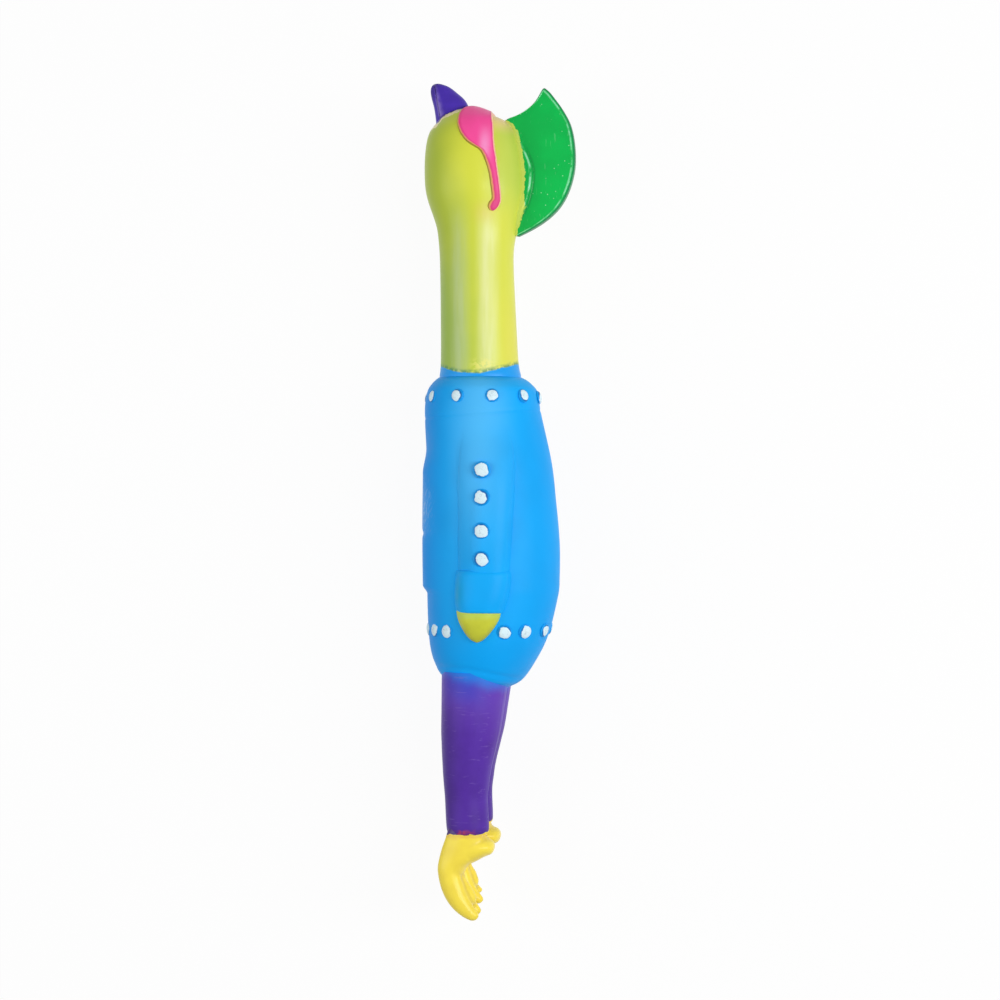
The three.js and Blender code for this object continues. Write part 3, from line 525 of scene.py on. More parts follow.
class Paint(Tree):
    """One material: a base colour under coats of paint, on a principled shader."""

    SOCKETS = {
        "base": "Base Color",
        "roughness": "Roughness",
        "coat": "Coat Weight",
        "coat_roughness": "Coat Roughness",
        "specular": "Specular IOR Level",
        "normal": "Normal",
    }

    def __init__(self, name, **constants):
        self.material = bpy.data.materials.new(name)
        super().__init__(self.material)
        self.set(**constants)

    def set(self, **sockets):
        """Sets the shader's sockets to what is the same all over, or links what varies."""
        for name, value in sockets.items():
            self.fill(self.nodes["Principled BSDF"].inputs[self.SOCKETS[name]], value)

    def finish(self, **varying):
        """Links the base colour and what else varies, and gives the material."""
        self.set(base=self.base, **varying)
        return self.material

    def attribute(self, name, output=2):
        """A value that the mesh keeps, or with output 1 a vector."""
        settings = {"attribute_name": name, "attribute_type": "GEOMETRY"}
        return self.node("ShaderNodeAttribute", settings, output=output)

    def place(self):
        """Where a point lies in the toy's axes, in millimetres."""
        return self.attribute("toy_place", 1)

    def axes(self):
        """The same as three values."""
        parts = self.node("ShaderNodeSeparateXYZ", None, {0: self.place()})
        return [parts.output(i) for i in range(3)]

    def noise(self, size, detail=2, place=None, stretch=None):
        """Smooth noise from 0 to 1 with features of that size."""
        place = place or self.place()
        if stretch:
            inputs = {0: place, 1: stretch}
            place = self.node("ShaderNodeVectorMath", {"operation": "MULTIPLY"}, inputs)
        inputs = {"Vector": place, "Scale": 1 / size, "Detail": detail}
        return self.node("ShaderNodeTexNoise", None, inputs)

    def bump(self, height, strength, distance):
        """A surface that stands up by height times the distance, in millimetres."""
        inputs = {"Height": height, "Strength": strength, "Distance": distance * MM}
        return self.node("ShaderNodeBump", None, inputs)

    def grain(self, size, strength, distance):
        """The bump of a fine grain of that size."""
        return self.bump(self.noise(size, 3), strength, distance)

    def shade(self, base, amount, cloud):
        """Begins with a colour that a cloud, from 0 to 1, lightens and darkens gently."""
        shares = 1 - amount, 1 + amount
        dark, light = (tuple(min(part * share, 1) for part in base) for share in shares)
        self.base = self.mix(cloud.smooth(0.3, 0.7), dark, light)

    def coat(self, share, *over):
        """Lays a colour over the base, at a share: a screen colour, or a user's by name."""
        over = linear(*over) if len(over) == 3 else getattr(colours(), over[0])
        self.base = self.mix(share, self.base, over)


# Outlines as shares

# Jacket: height, front, back, side and the front's extra height, as shares of its length,
# depth, depth, half width and length
JACKET_SHARES = [
    [0, 0.15, 0.156, 0.41, 0.02],
    [0.013, 0.24, 0.233, 0.62, 0.018],
    [0.038, 0.302, 0.31, 0.76, 0.012],
    [0.1, 0.355, 0.402, 0.88, 0],
    [0.18, 0.385, 0.485, 0.955, 0],
    [0.285, 0.396, 0.546, 0.99, 0],
    [0.335, 0.399, 0.56, 1, 0],
    [0.46, 0.404, 0.563, 1, 0],
    [0.6, 0.402, 0.535, 0.993, 0],
    [0.72, 0.4, 0.5, 0.975, 0],
    [0.86, 0.413, 0.427, 0.932, 0],
    [0.93, 0.397, 0.398, 0.893, 0],
    [0.952, 0.376, 0.369, 0.84, 0],
    [0.968, 0.345, 0.328, 0.75, 0],
    [0.978, 0.318, 0.286, 0.64, 0],
    [0.984, 0.29, 0.25, 0.55, 0],
]
STRIP_SHARES = (0.318, 0.715)  # of the jacket's length: where the front strip ends
# Neck: height, front, back and side, as shares of its own sizes
NECK_SHARES = [
    [-0.2, 0.554, 0.488, 1],
    [-0.06, 0.572, 0.52, 1.03],
    [0, 0.564, 0.505, 1.015],
    [0.08, 0.555, 0.484, 1],
    [0.25, 0.554, 0.466, 1],
    [0.55, 0.558, 0.439, 1],
    [0.85, 0.568, 0.419, 1],
]
HEAD_SHARES = [
    [0, 0.435, 0.329, 0.8],
    [0.1, 0.455, 0.357, 0.83],
    [0.21, 0.503, 0.397, 0.89],
    [0.34, 0.556, 0.426, 0.97],
    [0.47, 0.573, 0.427, 1],
    [0.6, 0.572, 0.41, 0.995],
    [0.72, 0.556, 0.378, 0.945],
    [0.81, 0.52, 0.33, 0.86],
    [0.865, 0.465, 0.272, 0.765],
    [0.902, 0.43, 0.185, 0.65],
    [0.935, 0.385, 0.088, 0.525],
    [0.96, 0.32, 0.01, 0.38],
    [0.977, 0.24, -0.066, 0.18],
    [0.983, 0.165, -0.144, 0.04],
]
# Beak: front point, back point and side from the root to the tip, as shares of its length
BEAK_ROOT_SHARES = (-0.286, 0.921)  # of the head's depth and length
BEAK_SHARES = [
    [-0.44, -0.42, 0.52, -0.1, 1],
    [-0.5, 0.12, 0.355, 0.36, 0.92],
    [-0.56, 0.4, 0.17, 0.575, 0.76],
    [-0.61, 0.61, 0.005, 0.715, 0.57],
    [-0.61, 0.78, -0.17, 0.83, 0.38],
    [-0.55, 0.875, -0.36, 0.895, 0.17],
    [-0.48, 0.9, -0.44, 0.902, 0.03],
]
# Where the beak's paint ends on the head, as pixels of the photograph
BEAK_LINE_PIXELS = [(434, 124), (440, 121), (444, 115.5), (454, 111.5), (461, 108), (470, 101)]
MOUTH_SHARES = ((-0.29, -0.2), (-0.49, 0.8))  # the mouth's root and tip
# Comb: front point, back point and thickness from its foot to its tip
COMB_ROOT_SHARES = (0.28, 0.005)  # of the head's depth and length
COMB_SHARES = [
    [-0.06, 0.03, 0.14, 0.012, 0.6],
    [-0.12, 0.1, 0.43, 0.076, 0.9],
    [-0.16, 0.19, 0.69, 0.16, 1],
    [-0.18, 0.3, 0.875, 0.27, 1],
    [-0.19, 0.42, 0.985, 0.41, 1],
    [-0.19, 0.54, 1.01, 0.53, 1],
    [-0.17, 0.65, 0.99, 0.64, 1],
    [-0.14, 0.735, 0.94, 0.735, 1],
    [-0.04, 0.783, 0.87, 0.8, 0.97],
    [0.09, 0.803, 0.79, 0.857, 0.92],
    [0.27, 0.846, 0.705, 0.907, 0.85],
    [0.4, 0.9, 0.625, 0.951, 0.75],
    [0.478, 0.957, 0.562, 0.976, 0.55],
    [0.51, 0.982, 0.536, 0.985, 0.2],
]
# The swelling at its root: back edge and height
COMB_SWELL_SHARES = [
    [0.06, 0.04],
    [0.17, 0.12],
    [0.285, 0.223],
    [0.348, 0.322],
    [0.366, 0.402],
    [0.342, 0.488],
    [0.25, 0.587],
    [0.14, 0.698],
    [0.02, 0.76],
]
# Where the comb's paint ends, beside the head, as pixels of the photograph
COMB_LINE_PIXELS = [
    (514, 241),
    (517.5, 226),
    (522, 213),
    (524.4, 204),
    (523.2, 194),
    (523.7, 181),
    (523.7, 168),
    (521, 149),
    (517, 133),
    (512, 124),
    (505, 119),
]
# Sunglasses on the left side, as pixels of the photograph: front edge and back edge, from
# the forehead down to the hook behind the cheek
GLASSES_PIXELS = [
    [461.5, 111.5, 492.6, 119],
    [458, 118, 493.2, 126],
    [457.6, 126, 493.6, 134],
    [461, 134.5, 493.9, 141],
    [466.5, 141.5, 494.4, 146],
    [473.5, 146.3, 495, 151],
    [479.8, 150.5, 495.8, 156],
    [484.2, 159, 496.8, 162],
    [488, 171, 498.2, 171.5],
    [490.3, 186, 500, 184],
    [491.4, 197, 500.9, 193],
    [489.2, 201, 501, 199.5],
    [487.4, 205.5, 498.8, 205.5],
    [489.4, 209.5, 493.5, 210.3],
]
LENS_STATIONS = 8  # rows of them that belong to the lens
BRIDGE_SHARES = ((-0.06, 0.985), (0.1, 0.93))  # edges at the front, backwards and up
# Arm: height down it, half width and backward lean, and how far it stands out
ARM_TOP_SHARE = 0.82  # of the jacket's length
ARM_SET_SHARE = 0.073  # of the jacket's depth, backwards
SLEEVE_SHARES = [
    [-0.03, 0.3, 0.03, 0.5],
    [0, 0.36, 0.03, 0.6],
    [0.06, 0.42, 0.045, 0.82],
    [0.13, 0.46, 0.05, 0.92],
    [0.25, 0.485, 0.045, 0.91],
    [0.36, 0.485, 0.04, 0.915],
    [0.52, 0.47, 0.025, 0.92],
    [0.668, 0.45, 0.01, 0.925],
    [0.72, 0.44, 0, 0.9],
]
CUFF_SHARES = [
    [0.664, 0.47, 0, 0.94],
    [0.69, 0.486, 0, 0.965],
    [0.725, 0.492, -0.01, 0.98],
    [0.79, 0.475, -0.035, 0.985],
    [0.835, 0.44, -0.055, 0.96],
    [0.862, 0.41, -0.06, 0.93],
]
HAND_SHARES = [
    [0.83, 0.405, -0.075, 0.84],
    [0.875, 0.39, -0.075, 0.87],
    [0.92, 0.32, -0.085, 0.84],
    [0.958, 0.225, -0.095, 0.77],
    [0.98, 0.15, -0.1, 0.69],
    [0.992, 0.085, -0.1, 0.62],
    [0.998, 0.02, -0.1, 0.56],
]
# Leg: height, front, back, outer side and centre
LEG_SHARES = [
    [0, 0.455, 0.121, 0.79, 0.415],
    [0.055, 0.49, 0.148, 0.825, 0.42],
    [0.23, 0.51, 0.13, 0.82, 0.42],
    [0.34, 0.53, 0.148, 0.845, 0.41],
    [0.46, 0.55, 0.185, 0.88, 0.38],
    [0.66, 0.575, 0.285, 0.935, 0.32],
    [0.83, 0.58, 0.35, 0.975, 0.28],
    [1.13, 0.575, 0.44, 1, 0.25],
]
# Foot: front point, back point and side of each ring, as shares of its length
PALM_SHARES = [
    [-0.4, 0.4, -0.25, 0.44, 0.5],
    [-0.455, 0.5, -0.17, 0.56, 0.88],
    [-0.46, 0.62, -0.115, 0.65, 1],
    [-0.443, 0.745, 0, 0.73, 1],
    [-0.4, 0.887, 0.09, 0.86, 0.98],
    [-0.35, 1, 0.08, 1.02, 0.94],
    [-0.335, 1.12, 0.055, 1.12, 0.9],
]
OUTER_TOE_SHARES = [
    [-0.02, 0.03, 0.015, 0.068, 0.25],
    [-0.07, 0.024, 0.012, 0.105, 0.58],
    [-0.181, 0.075, -0.048, 0.193, 0.8],
    [-0.314, 0.193, -0.121, 0.326, 0.97],
    [-0.415, 0.374, -0.169, 0.454, 1],
    [-0.461, 0.58, -0.2, 0.59, 1],
    [-0.452, 0.7, -0.125, 0.685, 1],
    [-0.42, 0.83, 0, 0.79, 1],
    [-0.375, 0.96, 0.06, 0.93, 0.96],
    [-0.34, 1.08, 0.05, 1.08, 0.9],
]
MIDDLE_TOE_SHARES = [
    [-0.06, 0.195, -0.035, 0.22, 0.2],
    [-0.095, 0.2, -0.03, 0.25, 0.5],
    [-0.14, 0.235, -0.035, 0.3, 0.8],
    [-0.2, 0.29, -0.07, 0.36, 0.9],
    [-0.26, 0.36, -0.105, 0.42, 0.95],
    [-0.32, 0.43, -0.155, 0.485, 1],
    [-0.38, 0.58, -0.18, 0.575, 1],
    [-0.37, 0.75, -0.14, 0.7, 0.9],
    [-0.3, 0.9, -0.1, 0.85, 0.7],
]
# How long each toe is below its knuckle, and how far its tip lies forwards: the toe on the
# outer left, the middle one and the one on the right
TOE_KNUCKLE_SHARE = 0.5
NO_TUCK = (1, 0)
TOE_TUCKS = {
    "left": (NO_TUCK, NO_TUCK, (0.96, 0.01)),
    "right": ((0.9, 0.02), (0.86, 0.06), (0.74, 0.07)),
}
HIND_TOE_SHARES = [
    [-0.3, 1.04, -0.22, 0.62, 0.97],
    [-0.16, 1.03, -0.12, 0.65, 0.97],
    [-0.03, 1, -0.01, 0.7, 0.95],
    [0.07, 0.965, 0.085, 0.752, 0.86],
    [0.14, 0.94, 0.15, 0.78, 0.66],
    [0.175, 0.9, 0.18, 0.84, 0.3],
]
SIDES = (("left", 1), ("right", -1))
FLIP = [1, 1, -1]  # turns a grid into its mirror image on the toy's other side


def on_head(back, up):
    """A place from shares of the head's depth, backwards, and of its length."""
    size = sizes()
    return np.array([back * size.head_depth, size.throat + up * size.head_length])


def jacket_skin():
    """Level rings of the jacket."""
    return Skin(level_rows(JACKET_SHARES, 0, JACKET_LENGTH, JACKET_DEPTH, sizes().jacket_width))


def head_skin():
    """Level rings of the neck, and of the head above them."""
    size = sizes()
    neck = size.neck_length, size.neck_depth, size.neck_width
    head = size.head_length, size.head_depth, size.head_width
    neck = level_rows(NECK_SHARES, JACKET_LENGTH, *neck)
    head = level_rows(HEAD_SHARES, size.throat, *head)
    return Skin(np.concatenate([neck, head]))


def photo_points(skin, pixels):
    """Where the photograph's rays through some pixels meet the left side of a skin: the
    first of many steps from the camera that lies inside. A ray that misses gives its
    nearest point."""
    sine, cosine = math.sin(VIEW_TURN), math.cos(VIEW_TURN)
    camera = VIEW_TARGET + CAMERA_DISTANCE * np.array([sine, 0, cosine])
    right, down = ((pixels - PHOTO_PIXELS / 2) * PIXEL_SIZE).T
    aim = VIEW_TARGET + np.stack([right * cosine, -down, -right * sine], axis=1)
    way = camera + (aim - camera)[:, None] * np.linspace(*RAY_SHARES, RAY_STEPS)[:, None]
    excess = skin.excess(way)
    inside = excess < 0
    hit = np.where(inside.any(axis=1), inside.argmax(axis=1), excess.argmin(axis=1))
    return way[np.arange(len(pixels)), hit]


def pixel_places(pixels, height):
    """Where the photograph's rays through some pixels lie at a height above the middle
    plane, as x and y in the toy's axes."""
    nearer = 1 - height / CAMERA_DISTANCE
    right, down = ((np.array(pixels) - PHOTO_PIXELS / 2) * PIXEL_SIZE * nearer).T
    x = VIEW_TARGET[0] + right / math.cos(VIEW_TURN) + height * math.tan(VIEW_TURN)
    return x, VIEW_TARGET[1] - down


def turned_frame(node):
    """Outer end, axis, half width and length of a turned node. Its points spread alike in
    two ways, and the axis is the third, pointing away from the toy's middle."""
    points = places_of(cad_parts[node].data)
    middle = points.mean(0)
    spread, ways = np.linalg.svd(points - middle, full_matrices=False)[1:]
    axis = ways[2] if spread[0] - spread[1] < spread[1] - spread[2] else ways[0]
    axis = axis * np.sign(axis @ (middle * [1, 0, 1]))
    along = (points - middle) @ axis
    half = np.linalg.norm(points - middle - along[:, None] * axis, axis=1).max()
    return middle + along.max() * axis, axis, half, np.ptp(along)


def turned(outline, sides, middle, axis, first, second):
    """A profile of reaches and heights turned about an axis: the middle, plus the height
    along the axis, plus the reach times the turn's cosine and sine along two ways across."""
    angles = np.arange(sides) / sides * math.tau
    round_it = np.cos(angles)[:, None] * first + np.sin(angles)[:, None] * second
    reach, height = outline.T[..., None, None]
    return middle + reach * round_it + height * axis


# Jacket

JACKET_RINGS = 300
JACKET_SIDES = 300
STRIP_EDGE = 1.4
FOLD_PLACE = 0.52  # share of the strip's length, and the share of its rise that the fold takes
FOLD_DEPTH = 0.25
YOKE_GROOVE = 0.22
YOKE_LEVEL = 131.2
LIP_GROOVE = 0.3
LIP_PLACES = [-24, -15, -4, 5.5, 12.4, 24]
LIP_LEVELS = [11.6, 11.2, 10.7, 9.1, 7.3, 4.5]
SEAT_DISH = 1.1
WOBBLE = 0.09
WAVE_LENGTHS = (17, 23, 11, 29)  # of the waves, over a full turn, up and to the side


def jacket_relief(places):
    """How far the jacket's surface stands out: the strip down its front, with the fold that
    crosses it, the yoke's and the lip's grooves, the dish round the squeaker, and the faint
    waves of soft vinyl."""
    size = sizes()
    x, y, z = np.moveaxis(places, -1, 0)
    low, high = (share * JACKET_LENGTH for share in STRIP_SHARES)
    half = size.strip_width / 2
    in_front = smooth(-x, 0, 4 * STRIP_EDGE) * (1 - smooth(np.abs(z), 0.4 * half, 1.3 * half))
    along = smooth(y, low - 2 * STRIP_EDGE, low + STRIP_EDGE)
    along *= 1 - smooth(y, high - 4 * STRIP_EDGE, high + 5 * STRIP_EDGE)
    fold = ridge(y, low + FOLD_PLACE * (high - low) + 0.2 * x, STRIP_EDGE)
    relief = size.strip_rise * in_front * (along - FOLD_DEPTH * fold)
    yoke = YOKE_LEVEL + 0.07 * x
    relief -= YOKE_GROOVE * ridge(y, yoke, STRIP_EDGE / 2)
    relief += YOKE_GROOVE / 2 * smooth(y, yoke, yoke + 4 * STRIP_EDGE)
    lip = seam_line(x, LIP_PLACES, LIP_LEVELS)
    groove = ridge(y, lip - 2.2 * STRIP_EDGE, 1.5 * STRIP_EDGE) - ridge(y, lip, STRIP_EDGE)
    relief += LIP_GROOVE * groove * smooth(np.abs(z), 0, 12 * STRIP_EDGE)
    seat, axis, flange, _ = turned_frame("squeaker_housing")
    off = places - seat
    height = off @ axis
    reach = np.linalg.norm(off - height[..., None] * axis, axis=-1)
    dish = 1 - smooth(reach, flange + 0.3 * STRIP_EDGE, flange + 1.3 * STRIP_EDGE)
    relief -= SEAT_DISH * dish * (height > -flange)
    one, two, three, four = WAVE_LENGTHS
    wave = np.sin(y / one + 2 * z / two) + np.sin(z / three - y / four + 1)
    return relief + WOBBLE * wave * smooth(y, 0, 20)


def jacket_paint():
    """Blue paint with soft clouds, a greener film of overspray by the cuff, and a glossier worn
    patch on the front strip, with pale scratches and a painted sheen. A paler middle is a
    painted highlight, the back and the front are darker as painted shade, and the blue is
    darker towards the bottom."""
    paint = Paint("jacket_blue_vinyl", specular=0.14)
    x, y, z = paint.axes()
    paint.shade(colours().jacket, 0.05, paint.noise(26))
    # Painted highlight: the middle of the left side is paler.
    pale = x.bell(3, 20) * y.smooth(50, 115) * abs(z).smooth(12, 26)
    paint.coat(pale * 0.6, 100, 200, 255)
    # Painted shade: darker towards the back.
    paint.coat(x.smooth(16, 34) * 0.5, 2, 158, 240)
    paint.coat(y.smooth(60, 5) * 0.5, 4, 158, 242)
    # Painted shade: darker towards the front.
    paint.coat(x.smooth(-10, -28) * 0.65, 14, 134, 230)
    # A worn glossier patch with pale scratches and lower roughness, painted lighter as a painted
    # sheen.
    rubbed_and_sheen = x.bell(-25, 8) * y.bell(86, 18) * z.bell(9, 13)
    slant = {0: x - y * 0.45, 1: (x * 0.45 + y) * 0.12, 2: z * 0.6}
    slant = paint.node("ShaderNodeCombineXYZ", None, slant)
    paint.coat(rubbed_and_sheen * 0.3, 110, 184, 250)
    paint.coat(rubbed_and_sheen * paint.noise(0.8, 2, slant).smooth(0.5, 0.68) * 0.6, 176, 216, 252)
    bottom = y + (paint.noise(7, 2) - 0.5) * 5 + x * 0.2
    paint.coat(bottom.smooth(6.5, -1) * 0.6, 36, 112, 226)
    green = x.bell(-7.5, 6.5) * y.bell(47, 13) * abs(z).smooth(26, 31)
    paint.coat(green * 0.5, 16, 156, 188)
    rough = 0.42 + paint.noise(9, 3) * 0.12 - rubbed_and_sheen * 0.15
    return paint.finish(roughness=rough, normal=paint.grain(0.5, 0.25, 0.03))


def make_jacket():
    """The jacket's rings, each point moved outwards by the relief."""
    grid = jacket_skin().grid(JACKET_RINGS, JACKET_SIDES)
    grid = grid + outward(grid) * jacket_relief(grid)[..., None]
    nodes = ("jacket", "left_flank_panel", "jacket_front_strip")
    on_flank(closed_piece("jacket_skin", grid, "jacket_blue", *nodes), 1)


# Arms

ARM_ROWS = 170
ARM_COLUMNS = 150
UNDER_COLUMNS = 12
SKIRT = 6.5  # how far a relief runs out beyond the arm
SINK = 0.12  # how far its edge lies below the jacket
UNDER_DEPTH = 2  # how far its back does
END_FALL = 1.8
FULL_RISE = 1.5
ARM_STEPS = 400
ARM_SQUARE = 3
SHOULDER_SPAN = (0.05, 0.42)  # shares of the arm: where the shoulder's fillet runs out
FADE_SPAN = (-0.03, 0.34)  # and where the arm's edge comes out of the jacket
# Part, slot, rows, the shoulder's fillet and the crease's, the squareness in front, and the
# ends that are rounded: their drop, the way inwards and the rounding
ARM_PARTS = [
    ("sleeve", "jacket_blue", SLEEVE_SHARES, 9, 1.5, 1.9, []),
    ("cuff", "jacket_blue", CUFF_SHARES, 0, 0.9, 2.6, [(0.862, -1, 0.9), (0.664, 1, 2.2)]),
    ("hand", "hand_yellow_green", HAND_SHARES, 0, 0.9, ARM_SQUARE, []),
]


def arm_surface(side, table, shoulder, crease, front_square, ends):
    """A relief on the flank, as closed rings across the arm. Its height over the side view
    is the arm's, middle plus reach times a superellipse, joined to the jacket's by a fillet
    that is soft at the shoulder and in front, and crisp behind. Also gives how far each
    point has risen from the jacket, from 0 to 1."""
    size, jacket = sizes(), jacket_skin()
    top = ARM_TOP_SHARE * JACKET_LENGTH
    arm_length = top - size.hand_tip_rise
    fine = spline(table, np.linspace(0, 1, ARM_STEPS)).T
    drop = np.linspace(fine[0, 0], fine[0, -1], ARM_ROWS)[:, None]
    half, lean, stand = (np.interp(drop, fine[0], column) for column in fine[1:])
    half = half * size.arm_width
    off = np.linspace(-1, 1, ARM_COLUMNS) * (half + SKIRT)
    x = ARM_SET_SHARE * JACKET_DEPTH + lean * size.arm_width + off
    y = np.broadcast_to(top - drop * arm_length, x.shape)
    base = jacket.side_height(x, y) - SINK
    place = np.abs(off) / half
    square = np.where(off < 0, front_square, ARM_SQUARE)
    bulge = np.maximum(1 - place**square, 0) ** (1 / square)
    height = size.arm_centre + (size.arm_reach - size.arm_centre) * stand * bulge
    height = np.minimum(height - 3 * half * np.maximum(place - 1, 0), size.arm_reach)
    for end, way, rounding in ends:
        height = height - END_FALL * (1 - rounded((drop - end) * way * arm_length / rounding))
    soft = shoulder * (1 - smooth(drop, *SHOULDER_SPAN))
    soft = soft + crease * (1 + 4 * smooth(-off, 0, half))
    fade = smooth(half + SKIRT - np.abs(off), 0, 0.7 * SKIRT) * smooth(drop, *FADE_SPAN)
    upper = base + (soft_max(height, base, soft) - base) * fade
    rise = np.clip((upper - base - SINK) / FULL_RISE, 0, 1)
    under_x = np.linspace(x[:, -1], x[:, 0], UNDER_COLUMNS + 2, axis=1)[:, 1:-1]
    under_y = np.broadcast_to(y[:, :1], under_x.shape)
    under = jacket.side_height(under_x, under_y) - UNDER_DEPTH
    above = np.stack([x, y, side * upper], axis=-1)
    below = np.stack([under_x, under_y, side * under], axis=-1)
    return np.concatenate([above, below], axis=1), np.concatenate([rise, under * 0], axis=1)


def hand_paint():
    """Yellow-green paint that ends in blue at its edge, browner towards the tip."""
    paint = Paint("hand_yellow_green", roughness=0.42, specular=0.2)
    relief = paint.attribute("relief")
    y = paint.axes()[1]
    paint.shade(colours().hands, 0.06, paint.noise(6, 3))
    paint.coat(y.smooth(34, 23) * 0.6, 176, 180, 52)
    paint.coat(y.smooth(33.5, 36.5) * 0.6, 190, 214, 96)
    edge = relief + (paint.noise(1.6, 3) - 0.5) * 0.5
    paint.coat(edge.smooth(0.75, 0.3), 120, 190, 120)
    paint.coat(edge.smooth(0.4, 0.12), "jacket")
    return paint.finish(normal=paint.grain(0.6, 0.25, 0.03))


def make_arms():
    """Three reliefs on each flank: the sleeve, its cuff and the hand."""
    for word, side in SIDES:
        for part, slot, *form in ARM_PARTS:
            grid, rise = arm_surface(side, *form)
            node = f"{word}_{part}"
            on_flank(closed_piece(f"{node}_skin", grid, slot, node, relief=rise), side)


# Studs

STUD_RINGS = 14
STUD_SIDES = 36
STUD_FLARE = 1.22  # the blue foot's width over the stud's
STUD_PROFILE_SHARES = [[1, -0.25], [0.9, 0.18], [0.74, 0.62], [0.5, 0.95], [0.25, 1.08], [0, 1.12]]


def stud_paint():
    """A rough blob of white paint on a blue bump: its edge wanders, its middle is thinner
    and greyer, and the blue round its foot is darker, a painted shade."""
    paint = Paint("stud_white_paint", roughness=0.55, specular=0.2)
    relief = paint.attribute("relief")
    wander = (paint.noise(4.5, 1) - 0.5) * 0.9 + (paint.noise(0.9, 2) - 0.5) * 0.22
    thin = paint.noise(1.8, 2).smooth(0.45, 0.65) * relief.smooth(0.8, 0.45)
    worn = paint.noise(0.45, 3).smooth(0.46, 0.6)
    white = paint.mix(thin * worn * 0.55, colours().studs, linear(164, 186, 200))
    # Painted shade: the blue is darker round the bump's foot.
    blue = paint.mix(relief.smooth(0.8, 1.25), linear(8, 96, 172), colours().jacket)
    paint.base = paint.mix((relief * 1.05 + wander).smooth(0.93, 1.02), white, blue)
    return paint.finish(normal=paint.grain(0.7, 0.5, 0.12))


def make_studs():
    """Each stud is a low dome on a flared foot: a profile turned about its axis. Each point
    keeps its reach as a share of the stud's half width."""
    profile = spline(STUD_PROFILE_SHARES, np.linspace(0, 1, STUD_RINGS)) * [STUD_FLARE, 1]
    share = np.repeat(profile[:, :1], STUD_SIDES, axis=1)
    for node in sorted(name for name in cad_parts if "_stud_" in name):
        top, axis, half, height = turned_frame(node)
        foot = top - height * axis
        beside = np.cross(axis, [0, 1, 0])
        beside /= np.linalg.norm(beside)
        upwards = np.cross(beside, axis)
        grid = turned(profile * [half, height], STUD_SIDES, foot, axis, beside, upwards)
        piece = closed_piece(f"{node}_paint", grid, "stud_white", node, relief=share)
        on_flank(piece, foot[2])


# Head and neck

HEAD_RINGS = 260
HEAD_SIDES = 200


def skin_paint():
    """Yellow-green vinyl, greener and darker in front and yellower behind: partly green overspray,
    partly painted shade in front and painted light behind. Two pale streaky bands down the neck
    are a painted sheen and a painted highlight. It is blue below the wavy line where the jacket's
    paint ends, and purple above the ragged line where the beak's begins, with a dark line of
    painted shadow at the beak's root."""
    paint = Paint("skin_yellow_green_vinyl", coat=0.08, coat_roughness=0.25, specular=0.22)
    x, y, z = paint.axes()
    drift = x + (paint.noise(30) - 0.5) * 16
    # Greener and darker in front, yellower behind: partly green overspray, partly painted shade in
    # front and painted light behind.
    paint.base = paint.mix(drift.smooth(-25, -2), colours().skin_shade, colours().skin)
    paint.coat(drift.smooth(-2, 19) * 0.6, 228, 230, 92)
    paint.coat(y.smooth(218, 244) * x.smooth(1, 13) * 0.8, 194, 214, 86)
    # More painted shade and green on the front of the neck and head.
    paint.coat(y.smooth(232, 185) * drift.smooth(14, -18) * 0.85, 154, 188, 82)
    paint.coat(x.bell(-10, 16) * y.bell(226, 20) * 0.35, 158, 186, 48)
    # Painted sheen and painted highlight: two pale streaky bands down the neck, where the lamps'
    # reflections lie.
    sheen_streaks = paint.noise(2.6, 3, stretch=(1, 0.1, 1)).smooth(0.3, 0.7)
    painted_sheen = x.bell(-8.5, 6.5) * y.smooth(236, 205) * (sheen_streaks * 0.5 + 0.5)
    paint.coat(painted_sheen * 0.55, 190, 208, 160)
    painted_highlight = x.bell(5, 7) * y.smooth(236, 212) * (sheen_streaks * 0.4 + 0.6)
    paint.coat(painted_highlight * 0.6, 238, 242, 186)
    paint.coat(x.smooth(8, 15) * y.smooth(200, 160) * 0.4, 236, 224, 96)
    smear = x.bell(3, 8) * y.bell(154, 4.5) * z.smooth(0, 6)
    paint.coat(smear * paint.noise(1.6, 2).smooth(0.4, 0.55) * 0.8, 248, 240, 130)
    paint.coat(y.smooth(262, 272) * x.smooth(2, 9) * 0.85, 250, 214, 150)
    blush = x.bell(4, 9) * y.bell(226, 8) * abs(z).smooth(12, 18)
    paint.coat(blush * 0.12, 250, 150, 120)
    line = y + (paint.noise(5, 2) - 0.5) * 1.8 - (x + 2) * (x + 2) * 0.0125
    film = line.smooth(152.6, 150.6) * paint.noise(2, 3).smooth(0.3, 0.55)
    paint.coat(film * 0.8, 60, 140, 100)
    paint.coat(line.smooth(150.7, 149.9), 20, 160, 240)
    above = paint.attribute("relief") + (paint.noise(1.5, 3) - 0.5) * 2.4
    paint.coat(above.smooth(-2.7, -2) * 0.9, 250, 236, 180)
    # Painted shadow: a dark purple line at the beak's root.
    paint.coat(above.smooth(-0.5, -0.3), 60, 42, 96)
    paint.coat(above.smooth(0.3, 0.6), "beak")
    rough = 0.32 + paint.noise(8, 3) * 0.1
    return paint.finish(roughness=rough, normal=paint.grain(0.6, 0.2, 0.03))


def make_head():
    """The head and the neck are one skin. Each point keeps how far above the edge of the beak's
    paint it lies."""
    grid = head_skin().grid(HEAD_RINGS, HEAD_SIDES)
    line = pixel_places(BEAK_LINE_PIXELS, sizes().beak_width / 3)
    above = grid[..., 1] - seam_line(grid[..., 0], *line)
    slot = "skin_yellow_green"
    piece = closed_piece("head_and_neck_skin", grid, slot, "neck", "head", relief=above)
    bend_between(piece, 1, NECK_BEND)


# Beak

BEAK_RINGS = 70
BEAK_SIDES = 48
MOUTH_COLUMNS = 16
MOUTH_GAP = 0.12
CUT_LIMIT = 0.999


